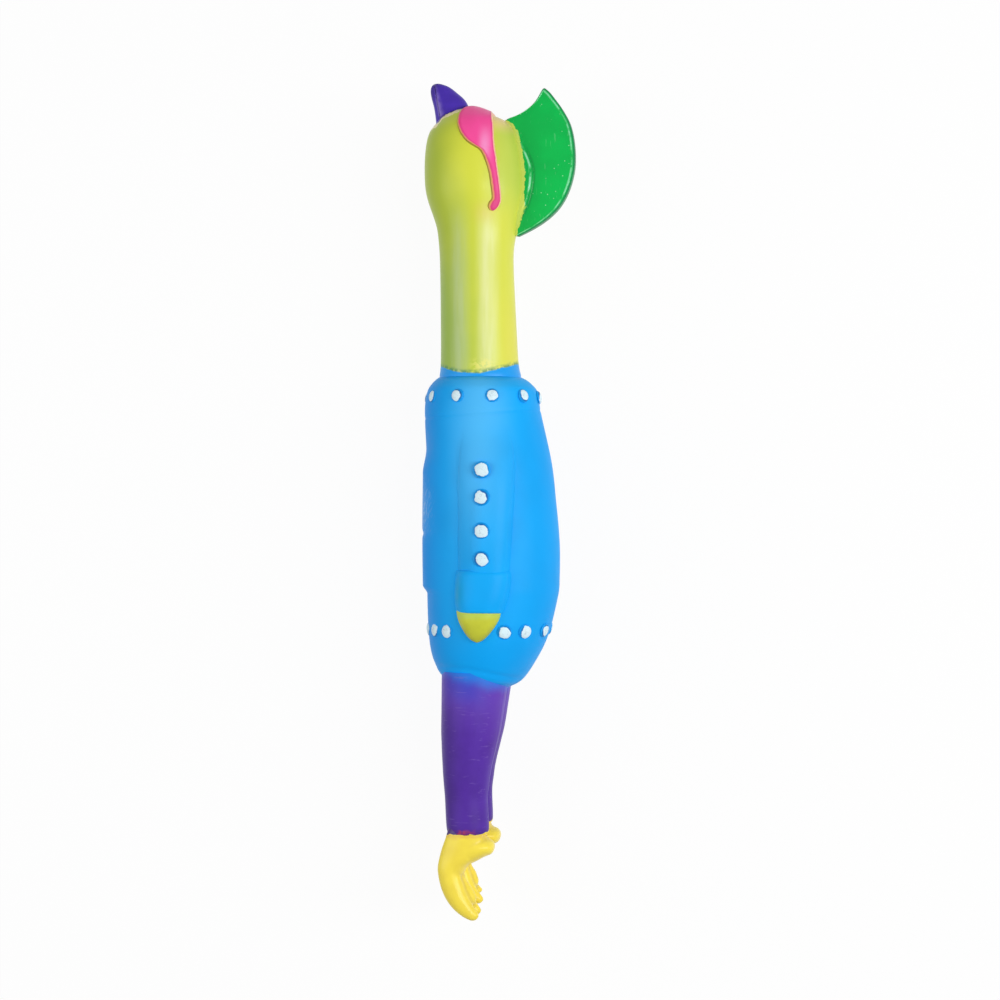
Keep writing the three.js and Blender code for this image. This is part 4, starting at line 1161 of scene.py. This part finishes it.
def beak_paint():
    """Purple paint, paler along the mouth, partly worn and partly a painted highlight on the
    mouth's edge, over a ragged edge at the root.
    """
    paint = Paint(
        "beak_purple_paint", roughness=0.36, coat=0.1, coat_roughness=0.18, specular=0.1
    )
    x, y, _ = paint.axes()
    paint.shade(colours().beak, 0.06, paint.noise(5))
    # Paler near the mouth: worn paint, and a painted highlight along the mouth's edge.
    pale = paint.attribute("relief").smooth(0.8, 1) * paint.noise(3).smooth(0.25, 0.6)
    paint.coat(pale * 0.55, 170, 150, 225)
    paint.coat((x - y * 0.5).smooth(-162, -167.5) * 0.4, 58, 44, 118)
    return paint.finish()


def make_beak():
    """Each half is part of a tilted ring: its own side of the mouth's line, closed by a
    flat along that line. Each point keeps how near the mouth it lies, from 0 to 1."""
    size = sizes()
    root = on_head(*BEAK_ROOT_SHARES)
    skin = Skin(tilted_rows(BEAK_SHARES, root, size.beak_length, size.beak_width))
    shares = skin.even_shares(BEAK_RINGS)
    ring = spline(skin.rows, shares)
    mouth, tip = root + np.array(MOUTH_SHARES) * size.beak_length
    across = np.array([(tip - mouth)[1], -(tip - mouth)[0]]) / np.linalg.norm(tip - mouth)
    front, back = (ring[:, 0:2] - mouth) @ across, (ring[:, 2:4] - mouth) @ across
    sweep = np.linspace(-1, 1, BEAK_SIDES)
    # How near the mouth each point lies, where the paint is paler: worn, and a painted highlight.
    worn = np.concatenate([np.abs(sweep), np.ones(MOUTH_COLUMNS)])
    for name, side in (("upper_beak", 1), ("lower_beak", -1)):
        cut = 2 * (side * MOUTH_GAP - front) / (back - front) - 1
        turn = np.arccos(np.clip(cut, -CUT_LIMIT, CUT_LIMIT))[:, None]
        angles = sweep * turn if side > 0 else math.pi + sweep * (math.pi - turn)
        shell = skin.points(np.broadcast_to(shares[:, None], angles.shape), angles)
        chord = np.linspace(shell[:, -1], shell[:, 0], MOUTH_COLUMNS + 2, axis=1)[:, 1:-1]
        grid = np.concatenate([shell, chord], axis=1)
        relief = np.broadcast_to(worn, grid.shape[:2])
        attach(closed_piece(f"{name}_skin", grid, "beak_purple", name, relief=relief), "head")


# Comb

COMB_RINGS = 220
COMB_SIDES = 160
COMB_SQUARE = 7
SWELL_ROUND = 1.4
COMB_BEAD = 0.35
COMB_BEAD_PLACE = 1.3
COMB_BEAD_HALF = 0.7
SWELL_START = (0, 0.2)  # shares of the comb's height between which the swelling begins
SWELL_END = (0.62, 0.78)
DUST_CELL = 2.6


def comb_paint():
    """Thick glossy green paint: darker on its rim as a painted shade, with a painted highlight
    on a bead inside it and along the swollen root's edge, painted shade just beyond that
    edge, specks of dust and a few fine scratches."""
    paint = Paint(
        "comb_green_paint", roughness=0.35, coat=0.14, coat_roughness=0.1, specular=0.1
    )
    x, y, _ = paint.axes()
    rim, swell, beside = (paint.attribute(name) for name in ("rim", "swell", "relief"))
    paint.shade(colours().comb, 0.07, paint.noise(16))
    paint.coat(x.smooth(30, 20) * 0.35, 6, 158, 66)
    # Painted shade: the rim is darker.
    paint.coat(rim.smooth(1.3, 0.3) * 0.75, 8, 110, 74)
    # Painted highlight: a broken bright line on the bead inside the rim.
    broken = paint.noise(5, 3).smooth(0.35, 0.55)
    paint.coat(rim.bell(1.5, 0.65) * broken * 0.75, 150, 240, 190)
    # Painted highlight along the swelling's edge, and painted shade just beyond it.
    root = y.smooth(218, 228) * y.smooth(262, 254)
    paint.coat(swell.bell(1, 0.8) * broken * root * 0.7, 180, 250, 210)
    paint.coat(swell.bell(-0.5, 1.2) * root * 0.5, 6, 130, 60)
    cells = {"Vector": paint.place(), "Scale": 1 / DUST_CELL}
    specks = paint.node("ShaderNodeTexVoronoi", None, cells).smooth(0.12, 0.072)
    dust = specks * paint.noise(12).smooth(0.4, 0.55)
    paint.coat(dust * 0.75, 170, 240, 190)
    beside = beside + (paint.noise(2.4, 3) - 0.5) * 2.4
    paint.coat(beside.smooth(0.35, 0), 206, 222, 96)
    scratch = paint.noise(1.1, 2, stretch=(1, 0.14, 1)).smooth(0.66, 0.72)
    paint.coat(scratch * 0.25, 120, 220, 150)
    return paint.finish(normal=paint.bump(paint.noise(4, 2) * 0.6 + dust, 0.3, 0.12))


def make_comb():
    """A boxy tube of rings from foot to tip, with a bead beside its rim, swollen at its
    root: the thickness grows by a quarter-round of the distance inside the swelling's back
    edge. Each point keeps how far it lies from the rim, inside the swelling and behind the
    paint's edge."""
    size = sizes()
    root, scale = on_head(*COMB_ROOT_SHARES), np.array([size.comb_reach, size.comb_height])
    rows = tilted_rows(COMB_SHARES, root, scale, size.comb_thickness)
    grid = Skin(rows, COMB_SQUARE).grid(COMB_RINGS, COMB_SIDES)
    x, y, z = np.moveaxis(grid, -1, 0)
    middle = grid.mean(axis=1, keepdims=True)
    way = grid[:, :1] - middle
    reach = np.linalg.norm(way, axis=-1)
    rim = reach - np.abs(np.sum((grid - middle) * way, axis=-1)) / reach
    rim = np.minimum(rim, np.linalg.norm(grid - middle[-1], axis=-1))
    z += np.sign(z) * COMB_BEAD * ridge(rim, COMB_BEAD_PLACE, COMB_BEAD_HALF)
    edges, rises = (root + np.array(COMB_SWELL_SHARES) * scale).T
    inside = seam_line(y, rises, edges) - x
    rise = (y - root[1]) / size.comb_height
    swell = rounded(inside / SWELL_ROUND) * np.clip(np.abs(z) / size.comb_thickness * 3, 0, 1)
    swell *= smooth(rise, *SWELL_START) * (1 - smooth(rise, *SWELL_END))
    z += np.sign(z) * size.comb_swell * swell
    line_x, line_y = pixel_places(COMB_LINE_PIXELS, size.comb_thickness)
    beside = x - seam_line(y, line_y, line_x)
    kept = {"relief": beside, "rim": rim, "swell": inside}
    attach(closed_piece("comb_skin", grid, "comb_green", "comb", **kept), "head")


# Sunglasses

GLASSES_COLUMNS = 64
LENS_ROWS = 200
TEMPLE_ROWS = 130
HEAD_MIDDLE = np.array([-4, 246, 0])
HEAD_SPAN = 60.0  # more than the head reaches from its middle
HALVINGS = 30
GLASSES_ROOT = 0.9  # how far the back lies below the head's surface
GLASSES_SINK = 0.25  # how far the edges do
GLASSES_END = 0.2  # how far the last ring counts as inside the end
BACK_STEP = 8  # columns of the front to one of the back
LENS_ROUND = 1.3
TEMPLE_ROUND = 2.6
TEMPLE_RISE_SHARE = 1.05
GLASSES_EDGES = ("from_front", "from_back")


def head_reach(skin, ways):
    """How far the head's surface lies from its middle along each way, by halving."""
    low = np.zeros(ways.shape[:-1])
    high = low + HEAD_SPAN
    for _ in range(HALVINGS):
        half = (low + high) / 2
        outside = skin.excess(HEAD_MIDDLE + ways * half[..., None]) > 0
        low, high = np.where(outside, low, half), np.where(outside, half, high)
    return (low + high) / 2


def glasses_rails(skin):
    """Ways from the head's middle to the front and back edges, from the bridge down."""
    rails = []
    for bridge, pixels in zip(BRIDGE_SHARES, np.hsplit(np.array(GLASSES_PIXELS), 2)):
        points = np.concatenate([[[*on_head(*bridge), 0]], photo_points(skin, pixels)])
        ways = points - HEAD_MIDDLE
        rails.append(ways / np.linalg.norm(ways, axis=1, keepdims=True))
    return rails


def glasses_surface(skin, rails, shares, rounding, rise):
    """A relief between two edges: ways from the head's middle are mixed across from edge
    to edge, the head's surface is met along each, and the relief stands up from it by a
    quarter-round of the distance from the nearest edge. Also gives how far each point lies
    from the front edge and from the back one."""
    across = (1 - np.cos(np.linspace(0, math.pi, GLASSES_COLUMNS))) / 2
    front, back = (spline(rail, shares)[:, None] for rail in rails)
    ways = front + (back - front) * across[:, None]
    ways /= np.linalg.norm(ways, axis=-1, keepdims=True)
    ground = head_reach(skin, ways)
    surface = ways * ground[..., None]
    width = np.linalg.norm(np.diff(surface, axis=1), axis=-1).sum(1)[:, None]
    travel = travelled(surface[:, GLASSES_COLUMNS // 2])[:, None]
    edge = np.minimum(np.minimum(across, 1 - across) * width, travel[-1] - travel + GLASSES_END)
    lift = rise * rounded(edge / rounding) - GLASSES_SINK
    upper = HEAD_MIDDLE + ways * (ground + lift)[..., None]
    under = HEAD_MIDDLE + (ways * (ground - GLASSES_ROOT)[..., None])[:, ::-BACK_STEP]
    off = (part * width for part in (across, 1 - across))
    off = (np.concatenate([part, part[:, ::-BACK_STEP]], axis=1) for part in off)
    return np.concatenate([upper, under], axis=1), dict(zip(GLASSES_EDGES, off))


def glasses_paint():
    """Pink paint, deeper on the temples, with a painted highlight where the lens runs into the
    temple and a deeper line of painted shade just inside each edge. It thins to peach along
    the back edge and to the vinyl's own colour along the front one, where a dark line at the
    edge is a painted shadow at the relief's foot."""
    paint = Paint(
        "sunglasses_pink_paint", roughness=0.38, coat=0.08, coat_roughness=0.28, specular=0.12
    )
    x, y, _ = paint.axes()
    wander = (paint.noise(2, 3) - 0.5) * 0.6
    front, back = (paint.attribute(name) + wander for name in GLASSES_EDGES)
    paint.shade(colours().glasses, 0.04, paint.noise(9))
    paint.coat(y.smooth(256, 226), 228, 74, 136)
    # Painted highlight: a paler patch where the lens runs into the temple.
    sheen = x.bell(4.5, 4.2) * y.bell(257, 13) * front.smooth(0.8, 2.2) * back.smooth(0.6, 1.8)
    paint.coat(sheen * 0.6, 255, 176, 226)
    # Painted shade: a deeper pink line just inside each edge.
    paint.coat(back.smooth(2.4, 1.5) * 0.45, 214, 52, 112)
    paint.coat(back.smooth(1.5, 1.1) * 0.95, 255, 196, 168)
    paint.coat(front.smooth(2.6, 1.5) * 0.5, 222, 60, 118)
    paint.coat(front.smooth(1.25, 0.8) * 0.9, 236, 170, 104)
    # Painted shadow: a dark line at the front edge, at the relief's foot.
    paint.coat(front.smooth(0.6, 0.3) * 0.8, 150, 140, 40)
    return paint.finish(normal=paint.grain(0.7, 0.2, 0.04))


def make_glasses():
    """Reliefs on the head: the lenses, joined over the bridge to their mirror image, and
    a temple on each side."""
    skin, rise = head_skin(), sizes().glasses_rise
    rails = glasses_rails(skin)
    last = len(GLASSES_PIXELS)
    shares = np.linspace(0, LENS_STATIONS / last, LENS_ROWS)
    lens, off = glasses_surface(skin, rails, shares, LENS_ROUND, rise)
    lens_off = {name: np.concatenate([part[:0:-1], part]) for name, part in off.items()}
    shares = np.linspace((LENS_STATIONS - 2) / last, 1, TEMPLE_ROWS)
    rise = rise * TEMPLE_RISE_SHARE
    temple, off = glasses_surface(skin, rails, shares, TEMPLE_ROUND, rise)
    for node, grid, kept in (
        ("sunglass_lenses", np.concatenate([lens[:0:-1] * FLIP, lens]), lens_off),
        ("left_temple", temple, off),
        ("right_temple", temple * FLIP, off),
    ):
        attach(closed_piece(f"{node}_skin", grid, "glasses_pink", node, **kept), "head")


# Trousers

LEG_RINGS = 200
LEG_SIDES = 140
LEG_SQUARE = 2.1
RIGHT_LEG_SLIM = 1.3
HEM_ROUND = 1.1
SEAM_RISE = 0.16
SEAM_HALF = 0.5
SEAM_SHARE = 0.45  # of the leg's width: where the seam lies
INNER_FILLET = 1


def hem_height(paint, x, y, z):
    """How far above the ragged lower edge of the purple paint a point lies: the edge is
    higher behind, and higher on the right leg."""
    ragged = (paint.noise(4.5, 3) - 0.5) * 4
    return y + 68 - x.smooth(2, 8) * 3.4 - z.smooth(1, -1) * 3.2 + ragged


def trouser_paint():
    """Purple paint, darker in front as a painted shade, with fine pale scratches, a cloud of the
    jacket's blue at its top, and a reddish smudge at the hem."""
    paint = Paint("trouser_purple_paint", roughness=0.44, specular=0.15)
    x, y, z = paint.axes()
    paint.shade(colours().trousers, 0.1, paint.noise(14, 3))
    # Painted shade: darker towards the front.
    paint.coat(x.smooth(-6, -15) * 0.5, 70, 44, 128)
    paint.coat(x.smooth(0, 13) * y.smooth(-60, -5) * 0.4, 100, 46, 158)
    level = y + (paint.noise(9, 3) - 0.5) * 5 + x * 0.25
    paint.coat(level.smooth(-26, 0) * 0.55, 112, 74, 196)
    paint.coat(level.smooth(-12, 4) * x.bell(-6, 16) * 0.8, 56, 76, 200)
    paint.coat(level.smooth(0, 9), 30, 130, 232)
    fine = paint.noise(0.9, 2, stretch=(0.12, 1, 0.3)).smooth(0.6, 0.72)
    paint.coat(fine * paint.noise(10).smooth(0.4, 0.6) * 0.3, 140, 112, 195)
    hem = hem_height(paint, x, y, z)
    paint.coat(hem.smooth(3.5, 0) * 0.4, 52, 26, 92)
    smudge = x.bell(-7, 9) * hem.bell(1, 2.2) * paint.noise(2.2, 3).smooth(0.35, 0.6)
    paint.coat(smudge * 0.8, 186, 66, 86)
    paint.coat(hem.smooth(0.2, -0.1), "feet")
    height = paint.noise(0.9, 4, stretch=(0.3, 1, 0.5))
    return paint.finish(normal=paint.bump(height, 0.4, 0.06))


def leg_rows(side):
    """Rings of a leg from shares: height, front, back, outer side and centre. The right leg
    is shorter, and slimmer behind towards its hem."""
    size = sizes()
    right = side < 0
    low = right * size.right_leg_lift - size.trouser_length
    rise, front, back, outer, centre = np.array(LEG_SHARES).T
    level = low - rise * low
    back = back * size.leg_depth - right * RIGHT_LEG_SLIM * (1 - np.minimum(rise, 1))
    half, middle = (outer - centre) * size.leg_width, side * centre * size.leg_width
    return np.stack([-front * size.leg_depth, level, back, level, half, middle], axis=1)


def make_trousers():
    """Each leg is a tube of rings, flat where it faces the other leg, rounded in at its
    hem, with a fine parting line down its front and back."""
    size = sizes()
    for word, side in SIDES:
        grid = Skin(leg_rows(side), LEG_SQUARE).grid(LEG_RINGS, LEG_SIDES)
        above = grid[..., 1] - grid[0, :, 1].mean()
        shrink = HEM_ROUND * (1 - rounded(above / HEM_ROUND))
        seam = SEAM_RISE * ridge(grid[..., 2], side * SEAM_SHARE * size.leg_width, SEAM_HALF)
        grid = grid + outward(grid) * (seam - shrink)[..., None] * [1, 0, 1]
        grid[..., 2] = side * soft_max(side * grid[..., 2], size.leg_gap / 2, INNER_FILLET)
        nodes = (f"{word}_trouser_top", f"{word}_trouser_leg")
        piece = closed_piece(f"{word}_trouser_skin", grid, "trouser_purple", *nodes)
        bend_between(piece, 1, HIP_BEND)


# Feet

FOOT_VOXEL = 0.5
FOOT_SMOOTHING = 10
FOOT_FILLET = 1
TOE_RINGS = 40
TOE_SIDES = 32
TUCK_SPAN = (0, 0.3)  # how far below the knuckle a toe comes forwards
SLIM_SPAN = 4  # how far above the hem the right foot gets as slim as its leg
CREASE_SPREAD = 6
CREASE_STRENGTH = 60


def foot_paint():
    """Yellow vinyl, browner in the creases as a painted shade, with the trousers' ragged purple
    edge.
    """
    paint = Paint("foot_yellow_vinyl", roughness=0.36, coat=0.2, coat_roughness=0.22, specular=0.2)
    x, y, z = paint.axes()
    paint.shade(colours().feet, 0.04, paint.noise(8, 3))
    # Painted shade: browner in the creases.
    paint.coat(paint.attribute("relief") * 0.5, 214, 188, 70)
    paint.coat(y.smooth(-90, -112) * 0.15, 238, 206, 70)
    hem = hem_height(paint, x, y, z)
    paint.coat(hem.bell(-0.8, 1.6) * 0.35, 214, 150, 90)
    paint.coat(hem.smooth(-0.1, 0.2), 70, 40, 116)
    return paint.finish(normal=paint.grain(0.8, 0.25, 0.04))


def fused(name, grids):
    """One mesh of closed surfaces with fillets where they meet: each is grown by the
    fillet's size, a fine voxel remesh joins them, and the whole is shrunk by as much."""
    points, faces, count = [], [], 0
    for grid in grids:
        part, *kinds = closed_surface(grid)
        points.append(part)
        faces += [corners + count for corners in kinds]
        count += len(part)
    rough = linked(name, mesh_of(name, np.concatenate(points), *faces))
    for kind, settings in (
        ("DISPLACE", {"mid_level": 0, "strength": FOOT_FILLET * MM}),
        ("REMESH", {"mode": "VOXEL", "voxel_size": FOOT_VOXEL * MM}),
        ("SMOOTH", {"factor": 0.5, "iterations": FOOT_SMOOTHING}),
        ("DISPLACE", {"mid_level": 0, "strength": -FOOT_FILLET * MM}),
        ("SMOOTH", {"factor": 0.5, "iterations": FOOT_SMOOTHING // 2}),
    ):
        modifier = rough.modifiers.new(kind, kind)
        for setting, value in settings.items():
            setattr(modifier, setting, value)
    depsgraph = bpy.context.evaluated_depsgraph_get()
    mesh = bpy.data.meshes.new_from_object(rough.evaluated_get(depsgraph))
    bpy.data.objects.remove(rough)
    return mesh


def creases(mesh):
    """1 in the deepest hollows and 0 where there is none: how far the mean of a point's
    neighbours lies outside it along its normal, spread a few times over the neighbours."""
    places = places_of(mesh)
    normals = np.zeros(places.size, np.float32)
    mesh.vertex_normals.foreach_get("vector", normals)
    edges = np.zeros(len(mesh.edges) * 2, np.int32)
    mesh.edges.foreach_get("vertices", edges)
    one, two = edges.reshape(-1, 2).T
    number = np.bincount(edges, minlength=len(places))

    def around(values):
        """The mean of the values of each point's neighbours."""
        total = np.zeros_like(values)
        np.add.at(total, one, values[two])
        np.add.at(total, two, values[one])
        return (total.T / number).T

    hollow = np.sum((around(places) - places) * normals.reshape(-1, 3), axis=1)
    for _ in range(CREASE_SPREAD):
        hollow = (hollow + around(hollow)) / 2
    return np.clip(hollow * CREASE_STRENGTH, 0, 1)


def tucked(table, length_share, forwards):
    """A toe's rows, shortened below its knuckle and moved forwards the more, the nearer
    they are to its tip."""
    rows = np.array(table, float)
    for column in (1, 3):
        below = np.clip(TOE_KNUCKLE_SHARE - rows[:, column], 0, None)
        rows[:, column] += below * (1 - length_share)
        rows[:, column - 1] -= forwards * smooth(below, *TUCK_SPAN)
    return rows


def make_feet():
    """A foot is a palm, two outer toes, a middle toe and a hind toe, joined into one skin.
    At its hem the right one is as slim as its leg."""
    size = sizes()
    hem = -size.trouser_length
    step = (size.foot_width - size.toe_width) / 2
    for word, side in SIDES:
        right = side < 0
        origin = 0, hem - size.foot_length + right * size.right_leg_lift
        ankle = leg_rows(side)[1, 5]
        near, middle, far = TOE_TUCKS[word]
        grids = []
        for table, width, across, tuck in (
            (PALM_SHARES, size.foot_width, 0, NO_TUCK),
            (OUTER_TOE_SHARES, size.toe_width, step, near),
            (OUTER_TOE_SHARES, size.toe_width, -step, far),
            (MIDDLE_TOE_SHARES, size.toe_width, 0, middle),
            (HIND_TOE_SHARES, size.foot_width, 0, NO_TUCK),
        ):
            rows = tucked(table, *tuck)
            rows = tilted_rows(rows, origin, size.foot_length, width, ankle + across)
            rows[:, 2] -= right * RIGHT_LEG_SLIM * smooth(rows[:, 3], hem, hem + SLIM_SPAN)
            grids.append(Skin(rows).grid(TOE_RINGS, TOE_SIDES))
        foot = f"{word}_foot"
        mesh = fused(f"{foot}_skin", grids)
        # The hollows are kept for the paint, which darkens them as a painted shade.
        piece = piece_of(f"{foot}_skin", mesh, "foot_yellow", foot, relief=creases(mesh))
        bend_between(piece, 1, ANKLE_BEND)


# Squeaker

PLUG_SIDES = 96
PLUG_ROUND = 0.35
ROUND_POINTS = 8
FLANGE_SHARE = 0.11  # of the plug's depth
BARREL_SHARE = 0.77  # of the flange's half width
HOLE_SHARE = 0.23
# Name, roughness and colour
INNER_PLASTIC = ("inner_white_plastic", 0.4, 240, 240, 236)
REED_FILM = ("reed_film", 0.3, 216, 220, 216)
INNER_NODES = {
    "squeaker_cap": INNER_PLASTIC,
    "reed_seat": INNER_PLASTIC,
    "squeaker_reed": REED_FILM,
}


def plastic_paint():
    """White plastic with faint clouds."""
    paint = Paint("squeaker_white_plastic", roughness=0.35)
    paint.shade(colours().squeaker, 0.03, paint.noise(3))
    return paint.finish()


@cache
def inner_plastic(name, roughness, *screen):
    """Plastic for the squeaker's own nodes, whose patterns lie on object coordinates."""
    paint = Paint(name, roughness=roughness)
    place = paint.node("ShaderNodeTexCoord", output=3)
    paint.shade(linear(*screen), 0.03, paint.noise(2 * MM, place=place))
    return paint.finish()


def make_squeaker():
    """The plug is a closed profile turned about its axis: the barrel, a flange with a
    rounded rim and a sound hole. What lies inside stays as the frame has it."""
    seat, axis, flange, depth = turned_frame("squeaker_housing")
    low, barrel, hole = -FLANGE_SHARE * depth, BARREL_SHARE * flange, HOLE_SHARE * flange
    quarter = np.linspace(0, math.pi / 2, ROUND_POINTS)
    inwards, fall = PLUG_ROUND * (1 - np.cos(quarter)), PLUG_ROUND * (np.sin(quarter) - 1)
    rim = np.stack([flange - inwards, fall], axis=1)
    lip = np.stack([hole + inwards, fall], axis=1)[::-1]
    outside = [[barrel, -depth], [barrel, low - PLUG_ROUND], [barrel, low], [flange, low]]
    outline = np.concatenate([outside, rim, lip, [[hole, low], [hole, -depth]]])
    upwards = np.array([0, 1, 0])
    grid = turned(outline, PLUG_SIDES, seat, axis, upwards, np.cross(axis, upwards))
    points = grid.reshape(-1, 3)
    quads = ring_faces(len(grid) + 1, PLUG_SIDES)[0] % len(points)
    mesh = mesh_of("squeaker_plug", points, *turned_out(points, quads))
    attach(piece_of("squeaker_plug", mesh, "squeaker_plastic", "squeaker_housing"), "torso")
    for node, look in INNER_NODES.items():
        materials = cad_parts[node].data.materials
        materials.clear()
        materials.append(inner_plastic(*look))


PAINTS = {
    "jacket_blue": jacket_paint,
    "hand_yellow_green": hand_paint,
    "stud_white": stud_paint,
    "skin_yellow_green": skin_paint,
    "beak_purple": beak_paint,
    "comb_green": comb_paint,
    "glasses_pink": glasses_paint,
    "trouser_purple": trouser_paint,
    "foot_yellow": foot_paint,
    "squeaker_plastic": plastic_paint,
}


@cache
def slot_paint(slot):
    """A slot's material, made once."""
    return PAINTS[slot]()


# Stage

FLOOR_SIZE = 12
FLOOR_COLOUR = (0.9, 0.9, 0.9)
WHITE = (1, 1, 1)
ROOM_LIGHT = 0.27
BACKGROUND_SHARE = 0.94  # how much of what is seen behind the toy is plain white
# Name, place from the toy's middle, width, height and watts
LAMPS = [
    ("key_light", (0.80, 0.05, 0.86), 0.26, 1.1, 9.6),
    ("fill_light", (-0.78, 0.0, 0.85), 0.5, 1.2, 4.7),
]


def make_floor():
    """A pale floor that keeps the toy's shadow and is seen as white."""
    half = FLOOR_SIZE / 2
    corners = [(-half, -half, 0), (half, -half, 0), (half, half, 0), (-half, half, 0)]
    mesh = bpy.data.meshes.new("floor")
    mesh.from_pydata(corners, [], [(0, 1, 2, 3)])
    floor = linked("floor", mesh)
    paint = Paint("pale_floor", base=FLOOR_COLOUR, roughness=0.9, specular=0.1)
    glow = paint.node("ShaderNodeEmission", None, {"Color": WHITE})
    paint.seen_white("Principled BSDF", glow, "Material Output")
    mesh.materials.append(paint.material)


def make_room():
    """An even pale room that is seen as white."""
    world = bpy.data.worlds.new("studio")
    bpy.context.scene.world = world
    tree = Tree(world)
    room = tree.nodes["Background"]
    tree.fill(room.inputs["Color"], WHITE)
    tree.fill(room.inputs["Strength"], ROOM_LIGHT)
    white = tree.node("ShaderNodeBackground", None, {"Color": WHITE})
    tree.seen_white("Background", white, "World Output")


def make_stage():
    """A pale floor, soft lamps that face the toy with their long side along it, and the
    camera at the photograph's viewing angle."""
    scene = bpy.context.scene
    scene.view_settings.view_transform = "Standard"
    make_floor()
    make_room()
    target = Vector((ORIGIN + VIEW_TARGET * MM).tolist())
    for name, away, width, height, watts in LAMPS:
        lamp = bpy.data.lights.new(name, "AREA")
        lamp.shape = "RECTANGLE"
        lamp.size, lamp.size_y, lamp.energy = width, height, watts
        made = linked(name, lamp)
        made.location = target + Vector(away)
        made.rotation_euler = Vector(away).to_track_quat("Z", "Y").to_euler()
    camera = bpy.data.cameras.new("photo_camera")
    camera.sensor_width = SENSOR_WIDTH
    camera.lens = SENSOR_WIDTH * CAMERA_DISTANCE / (PHOTO_PIXELS * PIXEL_SIZE)
    made = linked("photo_camera", camera)
    away = Vector((math.sin(VIEW_TURN), 0, math.cos(VIEW_TURN)))
    made.location = target + away * CAMERA_DISTANCE * MM
    made.rotation_euler = (0, VIEW_TURN, 0)
    scene.camera = made


# Operators, panel and registration


class TOY_OT_make_jacket(bpy.types.Operator):
    """Builds the jacket's skin"""

    bl_idname = "toy.make_jacket"
    bl_label = "Jacket"

    def execute(self, context):
        make_jacket()
        return {"FINISHED"}


class TOY_OT_make_arms(bpy.types.Operator):
    """Builds the sleeves, cuffs and hands"""

    bl_idname = "toy.make_arms"
    bl_label = "Arms"

    def execute(self, context):
        make_arms()
        return {"FINISHED"}


class TOY_OT_make_studs(bpy.types.Operator):
    """Builds every painted stud"""

    bl_idname = "toy.make_studs"
    bl_label = "Studs"

    def execute(self, context):
        make_studs()
        return {"FINISHED"}


class TOY_OT_make_head(bpy.types.Operator):
    """Builds the skin of the head and neck"""

    bl_idname = "toy.make_head"
    bl_label = "Head and neck"

    def execute(self, context):
        make_head()
        return {"FINISHED"}


class TOY_OT_make_beak(bpy.types.Operator):
    """Builds both halves of the beak"""

    bl_idname = "toy.make_beak"
    bl_label = "Beak"

    def execute(self, context):
        make_beak()
        return {"FINISHED"}


class TOY_OT_make_comb(bpy.types.Operator):
    """Builds the comb"""

    bl_idname = "toy.make_comb"
    bl_label = "Comb"

    def execute(self, context):
        make_comb()
        return {"FINISHED"}


class TOY_OT_make_glasses(bpy.types.Operator):
    """Builds the lenses and temples"""

    bl_idname = "toy.make_glasses"
    bl_label = "Sunglasses"

    def execute(self, context):
        make_glasses()
        return {"FINISHED"}


class TOY_OT_make_trousers(bpy.types.Operator):
    """Builds both trouser legs"""

    bl_idname = "toy.make_trousers"
    bl_label = "Trousers"

    def execute(self, context):
        make_trousers()
        return {"FINISHED"}


class TOY_OT_make_feet(bpy.types.Operator):
    """Builds both feet"""

    bl_idname = "toy.make_feet"
    bl_label = "Feet"

    def execute(self, context):
        make_feet()
        return {"FINISHED"}


class TOY_OT_make_squeaker(bpy.types.Operator):
    """Builds the squeaker's plug"""

    bl_idname = "toy.make_squeaker"
    bl_label = "Squeaker"

    def execute(self, context):
        make_squeaker()
        return {"FINISHED"}


class TOY_OT_make_stage(bpy.types.Operator):
    """Builds the floor, lamps and camera"""

    bl_idname = "toy.make_stage"
    bl_label = "Stage"

    def execute(self, context):
        make_stage()
        return {"FINISHED"}


OPERATORS = [
    TOY_OT_make_jacket,
    TOY_OT_make_arms,
    TOY_OT_make_studs,
    TOY_OT_make_head,
    TOY_OT_make_beak,
    TOY_OT_make_comb,
    TOY_OT_make_glasses,
    TOY_OT_make_trousers,
    TOY_OT_make_feet,
    TOY_OT_make_squeaker,
    TOY_OT_make_stage,
]


class TOY_PT_panel(bpy.types.Panel):
    """Lists the toy's sizes, colours and pieces."""

    bl_idname = "TOY_PT_panel"
    bl_label = "Squeaky vinyl chicken"
    bl_space_type = "VIEW_3D"
    bl_region_type = "UI"
    bl_category = "Toy"

    def draw(self, context):
        column = self.layout.column()
        for group in (context.scene.toy_sizes, context.scene.toy_colours):
            for name in group.__annotations__:
                column.prop(group, name)
        for made in OPERATORS:
            column.operator(made.bl_idname)


CLASSES = [ToySizes, ToyColours, *OPERATORS, TOY_PT_panel]


def register():
    for made in CLASSES:
        bpy.utils.register_class(made)
    bpy.types.Scene.toy_sizes = bpy.props.PointerProperty(type=ToySizes)
    bpy.types.Scene.toy_colours = bpy.props.PointerProperty(type=ToyColours)


def unregister():
    del bpy.types.Scene.toy_colours
    del bpy.types.Scene.toy_sizes
    for made in reversed(CLASSES):
        bpy.utils.unregister_class(made)


def main():
    register()
    for made in OPERATORS:
        group, name = made.bl_idname.split(".")
        getattr(getattr(bpy.ops, group), name)()


if __name__ == "__main__":
    main()
